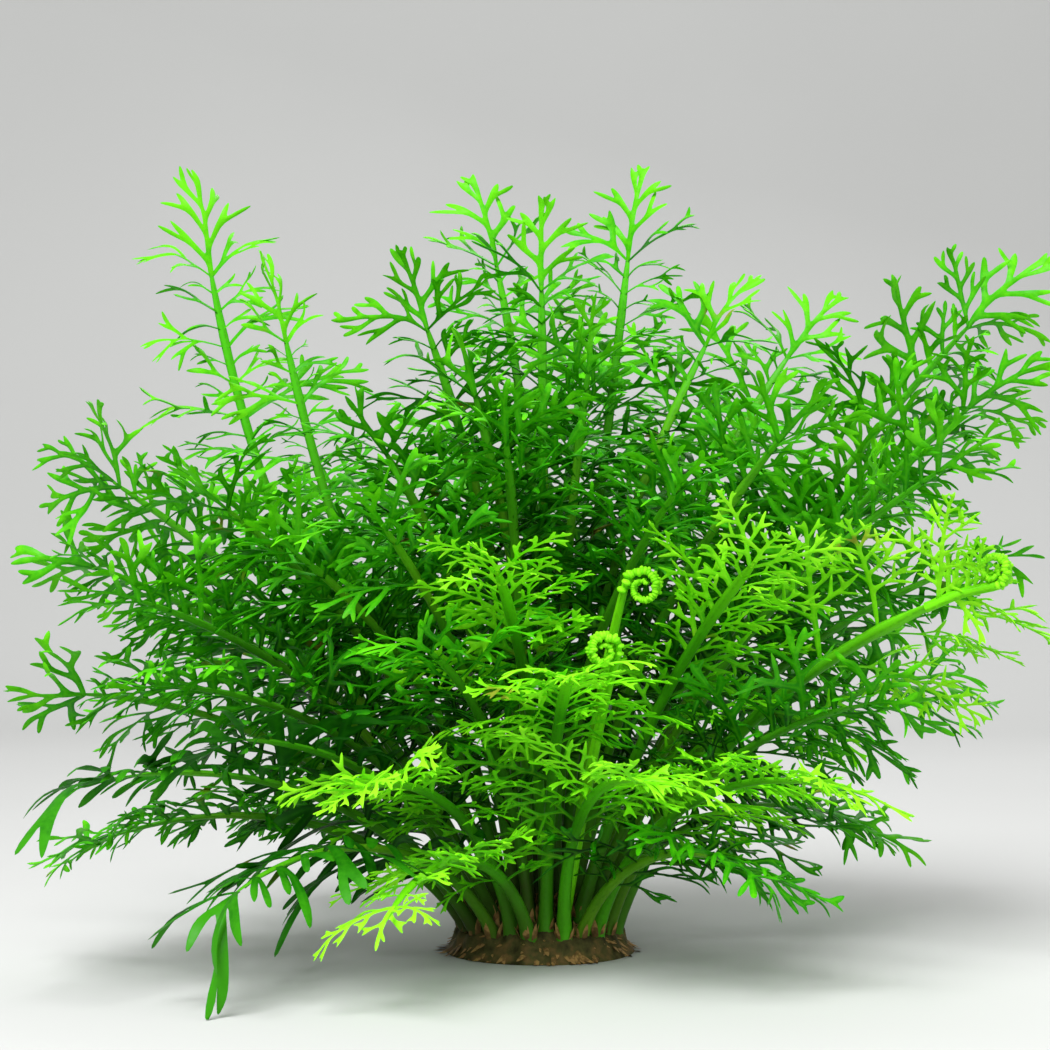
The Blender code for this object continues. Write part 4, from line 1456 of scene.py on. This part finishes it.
@lru_cache(maxsize=None)
def finishes():
    """Every finish of the plant, by its name."""
    colours = bpy.context.scene.sprite_colours

    def look(name):
        return tuple(getattr(colours, name))

    def leaf(kind, roughness):
        shades = [look(kind + part) for part in ("_deep", "", "_light", "_tip")]
        return leaf_finish(f"{kind}_leaf", shades, look("worn"), roughness)

    def stipe(kind, colour, pale, roughness):
        foot, leaf = look("stipe_foot"), look(f"{kind}_light")
        return stipe_finish(f"{kind}_stipe", foot, colour, pale, leaf, roughness)

    return {
        "mature": leaf("mature", roughness=0.42),
        "young": leaf("young", roughness=0.45),
        "broad": leaf("broad", roughness=0.36),
        "stipe": stipe("mature", look("stipe"), look("stipe_pale"), roughness=0.42),
        "young_stipe": stipe("young", toned(look("young"), 0.5), look("young"), roughness=0.40),
        "crown": crown_finish("crown_stock", look("crown"), look("scale")),
        "scale": scale_finish("crown_scale", look("scale")),
    }


def dress_group(group, leafage):
    """Dresses every planned frond whose name starts with the group."""
    found = [frond for frond in planned()[0] if frond.name.startswith(group)]
    if not found:
        raise RuntimeError(f"no frond is planned in {group}")
    for frond in found:
        dress_frond(frond, leafage)


class SPRITE_OT_slender_fronds(bpy.types.Operator):
    """Two tall fronds with few long lobes"""

    bl_idname = "sprite.slender_fronds"
    bl_label = "Slender fronds"

    def execute(self, context):
        for group in ("tall_frond_1", "tall_frond_2"):
            dress_group(group, "slender")
        return {"FINISHED"}


class SPRITE_OT_tall_fronds(bpy.types.Operator):
    """The other tall fronds in the middle and at the right"""

    bl_idname = "sprite.tall_fronds"
    bl_label = "Tall fronds"

    def execute(self, context):
        for number in range(3, 9):
            dress_group(f"tall_frond_{number}", "mature")
        return {"FINISHED"}


class SPRITE_OT_side_fronds(bpy.types.Operator):
    """Mature fronds that reach to the left and to the right"""

    bl_idname = "sprite.side_fronds"
    bl_label = "Side fronds"

    def execute(self, context):
        for group in ("left", "right"):
            dress_group(group, "mature")
        return {"FINISHED"}


class SPRITE_OT_middle_fronds(bpy.types.Operator):
    """Mature fronds that fill the middle of the plant"""

    bl_idname = "sprite.middle_fronds"
    bl_label = "Middle fronds"

    def execute(self, context):
        dress_group("middle", "mature")
        return {"FINISHED"}


class SPRITE_OT_back_fronds(bpy.types.Operator):
    """Mature fronds of the plant's far side"""

    bl_idname = "sprite.back_fronds"
    bl_label = "Back fronds"

    def execute(self, context):
        dress_group("back", "mature")
        return {"FINISHED"}


class SPRITE_OT_young_fronds(bpy.types.Operator):
    """Bright young fronds low in front, and the great one at the right"""

    bl_idname = "sprite.young_fronds"
    bl_label = "Young fronds"

    def execute(self, context):
        dress_group("bright", "young")
        dress_group("great_young", "great")
        return {"FINISHED"}


class SPRITE_OT_broad_fronds(bpy.types.Operator):
    """Low dark fronds with broad strap-like lobes"""

    bl_idname = "sprite.broad_fronds"
    bl_label = "Broad fronds"

    def execute(self, context):
        dress_group("broad", "strap")
        return {"FINISHED"}


class SPRITE_OT_crosiers(bpy.types.Operator):
    """Young fronds still rolled up"""

    bl_idname = "sprite.crosiers"
    bl_label = "Crosiers"

    def execute(self, context):
        for frond in planned()[1]:
            build_crosier_piece(frond, [finishes()["young"], finishes()["young_stipe"]])
        return {"FINISHED"}


class SPRITE_OT_crown(bpy.types.Operator):
    """The crown that every frond grows from"""

    bl_idname = "sprite.crown"
    bl_label = "Crown"

    def execute(self, context):
        build_crown_piece(*planned(), [finishes()["crown"], finishes()["scale"]])
        return {"FINISHED"}


class SPRITE_OT_stage(bpy.types.Operator):
    """Pale floor with a curved backdrop, soft lights and the camera"""

    bl_idname = "sprite.stage"
    bl_label = "Stage"

    def execute(self, context):
        stage = context.scene.sprite_stage
        build_floor(tuple(stage.floor))
        for name, (place, size) in LIGHTS.items():
            add_light(f"{name}_light", Vector(place), size, getattr(stage, name))
        set_world()
        set_camera(stage)
        context.scene.view_settings.view_transform = "Standard"
        return {"FINISHED"}


def build_floor(colour):
    """A floor that curves up into a backdrop, drawn out from one edge."""
    bm = bmesh.new()
    ends = [bm.verts.new((side * STAGE_HALF_WIDTH, FLOOR_FRONT, 0.0)) for side in (-1, 1)]
    edge = bm.edges.new(ends)
    profile = [(FLOOR_BACK, 0.0)]
    for step in range(1, COVE_STEPS + 1):
        angle = math.pi / 2 * step / COVE_STEPS
        profile.append((FLOOR_BACK + COVE_RADIUS * math.sin(angle), COVE_RADIUS * (1 - math.cos(angle))))
    profile.append((FLOOR_BACK + COVE_RADIUS, WALL_TOP))
    for y, z in profile:
        made = bmesh.ops.extrude_edge_only(bm, edges=[edge])["geom"]
        edges = [item for item in made if isinstance(item, bmesh.types.BMEdge) and len(item.link_faces) == 1]
        edge = next(edge for edge in edges if all(vert in made for vert in edge.verts))
        for vert in edge.verts:
            vert.co.y, vert.co.z = y, z
    for face in bm.faces:
        face.smooth = True
    bmesh.ops.recalc_face_normals(bm, faces=bm.faces)
    finish = Finish("floor", roughness=0.85)
    mottle = finish.noise(scale=3, detail=2.0)
    finish.colour(finish.ramp(mottle, places=MOST_NOISE, colours=(toned(colour, 0.97), colour)))
    floor = new_object(bm, "floor", [finish.material])


def add_light(name, place, size, power):
    """A large soft square light that faces the plant."""
    light = bpy.data.lights.new(name, "AREA")
    light.shape = "SQUARE"
    light.size = size
    light.energy = power
    lamp = bpy.data.objects.new(name, light)
    lamp.location = place
    lamp.rotation_euler = (LIGHT_TARGET - place).to_track_quat("-Z", "Y").to_euler()
    bpy.context.scene.collection.objects.link(lamp)


def set_world():
    """Even light from all around."""
    world = bpy.data.worlds.new("studio")
    world.use_nodes = True
    background = world.node_tree.nodes["Background"]
    background.inputs["Color"].default_value = WORLD_COLOUR
    background.inputs["Strength"].default_value = WORLD_STRENGTH
    bpy.context.scene.world = world


def set_camera(stage):
    """Level with the middle of the plant, straight in front of it."""
    data = bpy.data.cameras.new("camera")
    data.sensor_width = SENSOR
    data.lens = SENSOR * stage.distance / stage.view_width
    camera = bpy.data.objects.new("camera", data)
    target = Vector(stage.target)
    camera.location = target - Vector((0.0, stage.distance, 0.0))
    camera.rotation_euler = (target - camera.location).to_track_quat("-Z", "Y").to_euler()
    bpy.context.scene.collection.objects.link(camera)
    bpy.context.scene.camera = camera


OPERATORS = (
    SPRITE_OT_slender_fronds,
    SPRITE_OT_tall_fronds,
    SPRITE_OT_side_fronds,
    SPRITE_OT_middle_fronds,
    SPRITE_OT_back_fronds,
    SPRITE_OT_young_fronds,
    SPRITE_OT_broad_fronds,
    SPRITE_OT_crosiers,
    SPRITE_OT_crown,
    SPRITE_OT_stage,
)


class SPRITE_PT_panel(bpy.types.Panel):
    """Lists the pieces of the plant, with their sizes and colours"""

    bl_idname = "SPRITE_PT_panel"
    bl_label = "Water sprite"
    bl_space_type = "VIEW_3D"
    bl_region_type = "UI"
    bl_category = "Water sprite"

    def draw(self, context):
        for operator in OPERATORS:
            self.layout.operator(operator.bl_idname)
        for group in (context.scene.sprite_sizes, context.scene.sprite_colours, context.scene.sprite_stage):
            box = self.layout.box()
            for name in group.__annotations__:
                box.prop(group, name)


CLASSES = (SpriteSizes, SpriteColours, SpriteStage, *OPERATORS, SPRITE_PT_panel)


def register():
    for cls in CLASSES:
        bpy.utils.register_class(cls)
    bpy.types.Scene.sprite_sizes = PointerProperty(type=SpriteSizes)
    bpy.types.Scene.sprite_colours = PointerProperty(type=SpriteColours)
    bpy.types.Scene.sprite_stage = PointerProperty(type=SpriteStage)


def unregister():
    del bpy.types.Scene.sprite_stage
    del bpy.types.Scene.sprite_colours
    del bpy.types.Scene.sprite_sizes
    for cls in reversed(CLASSES):
        bpy.utils.unregister_class(cls)


def main():
    register()
    for operator in OPERATORS:
        group, name = operator.bl_idname.split(".")
        getattr(getattr(bpy.ops, group), name)()


if __name__ == "__main__":
    main()
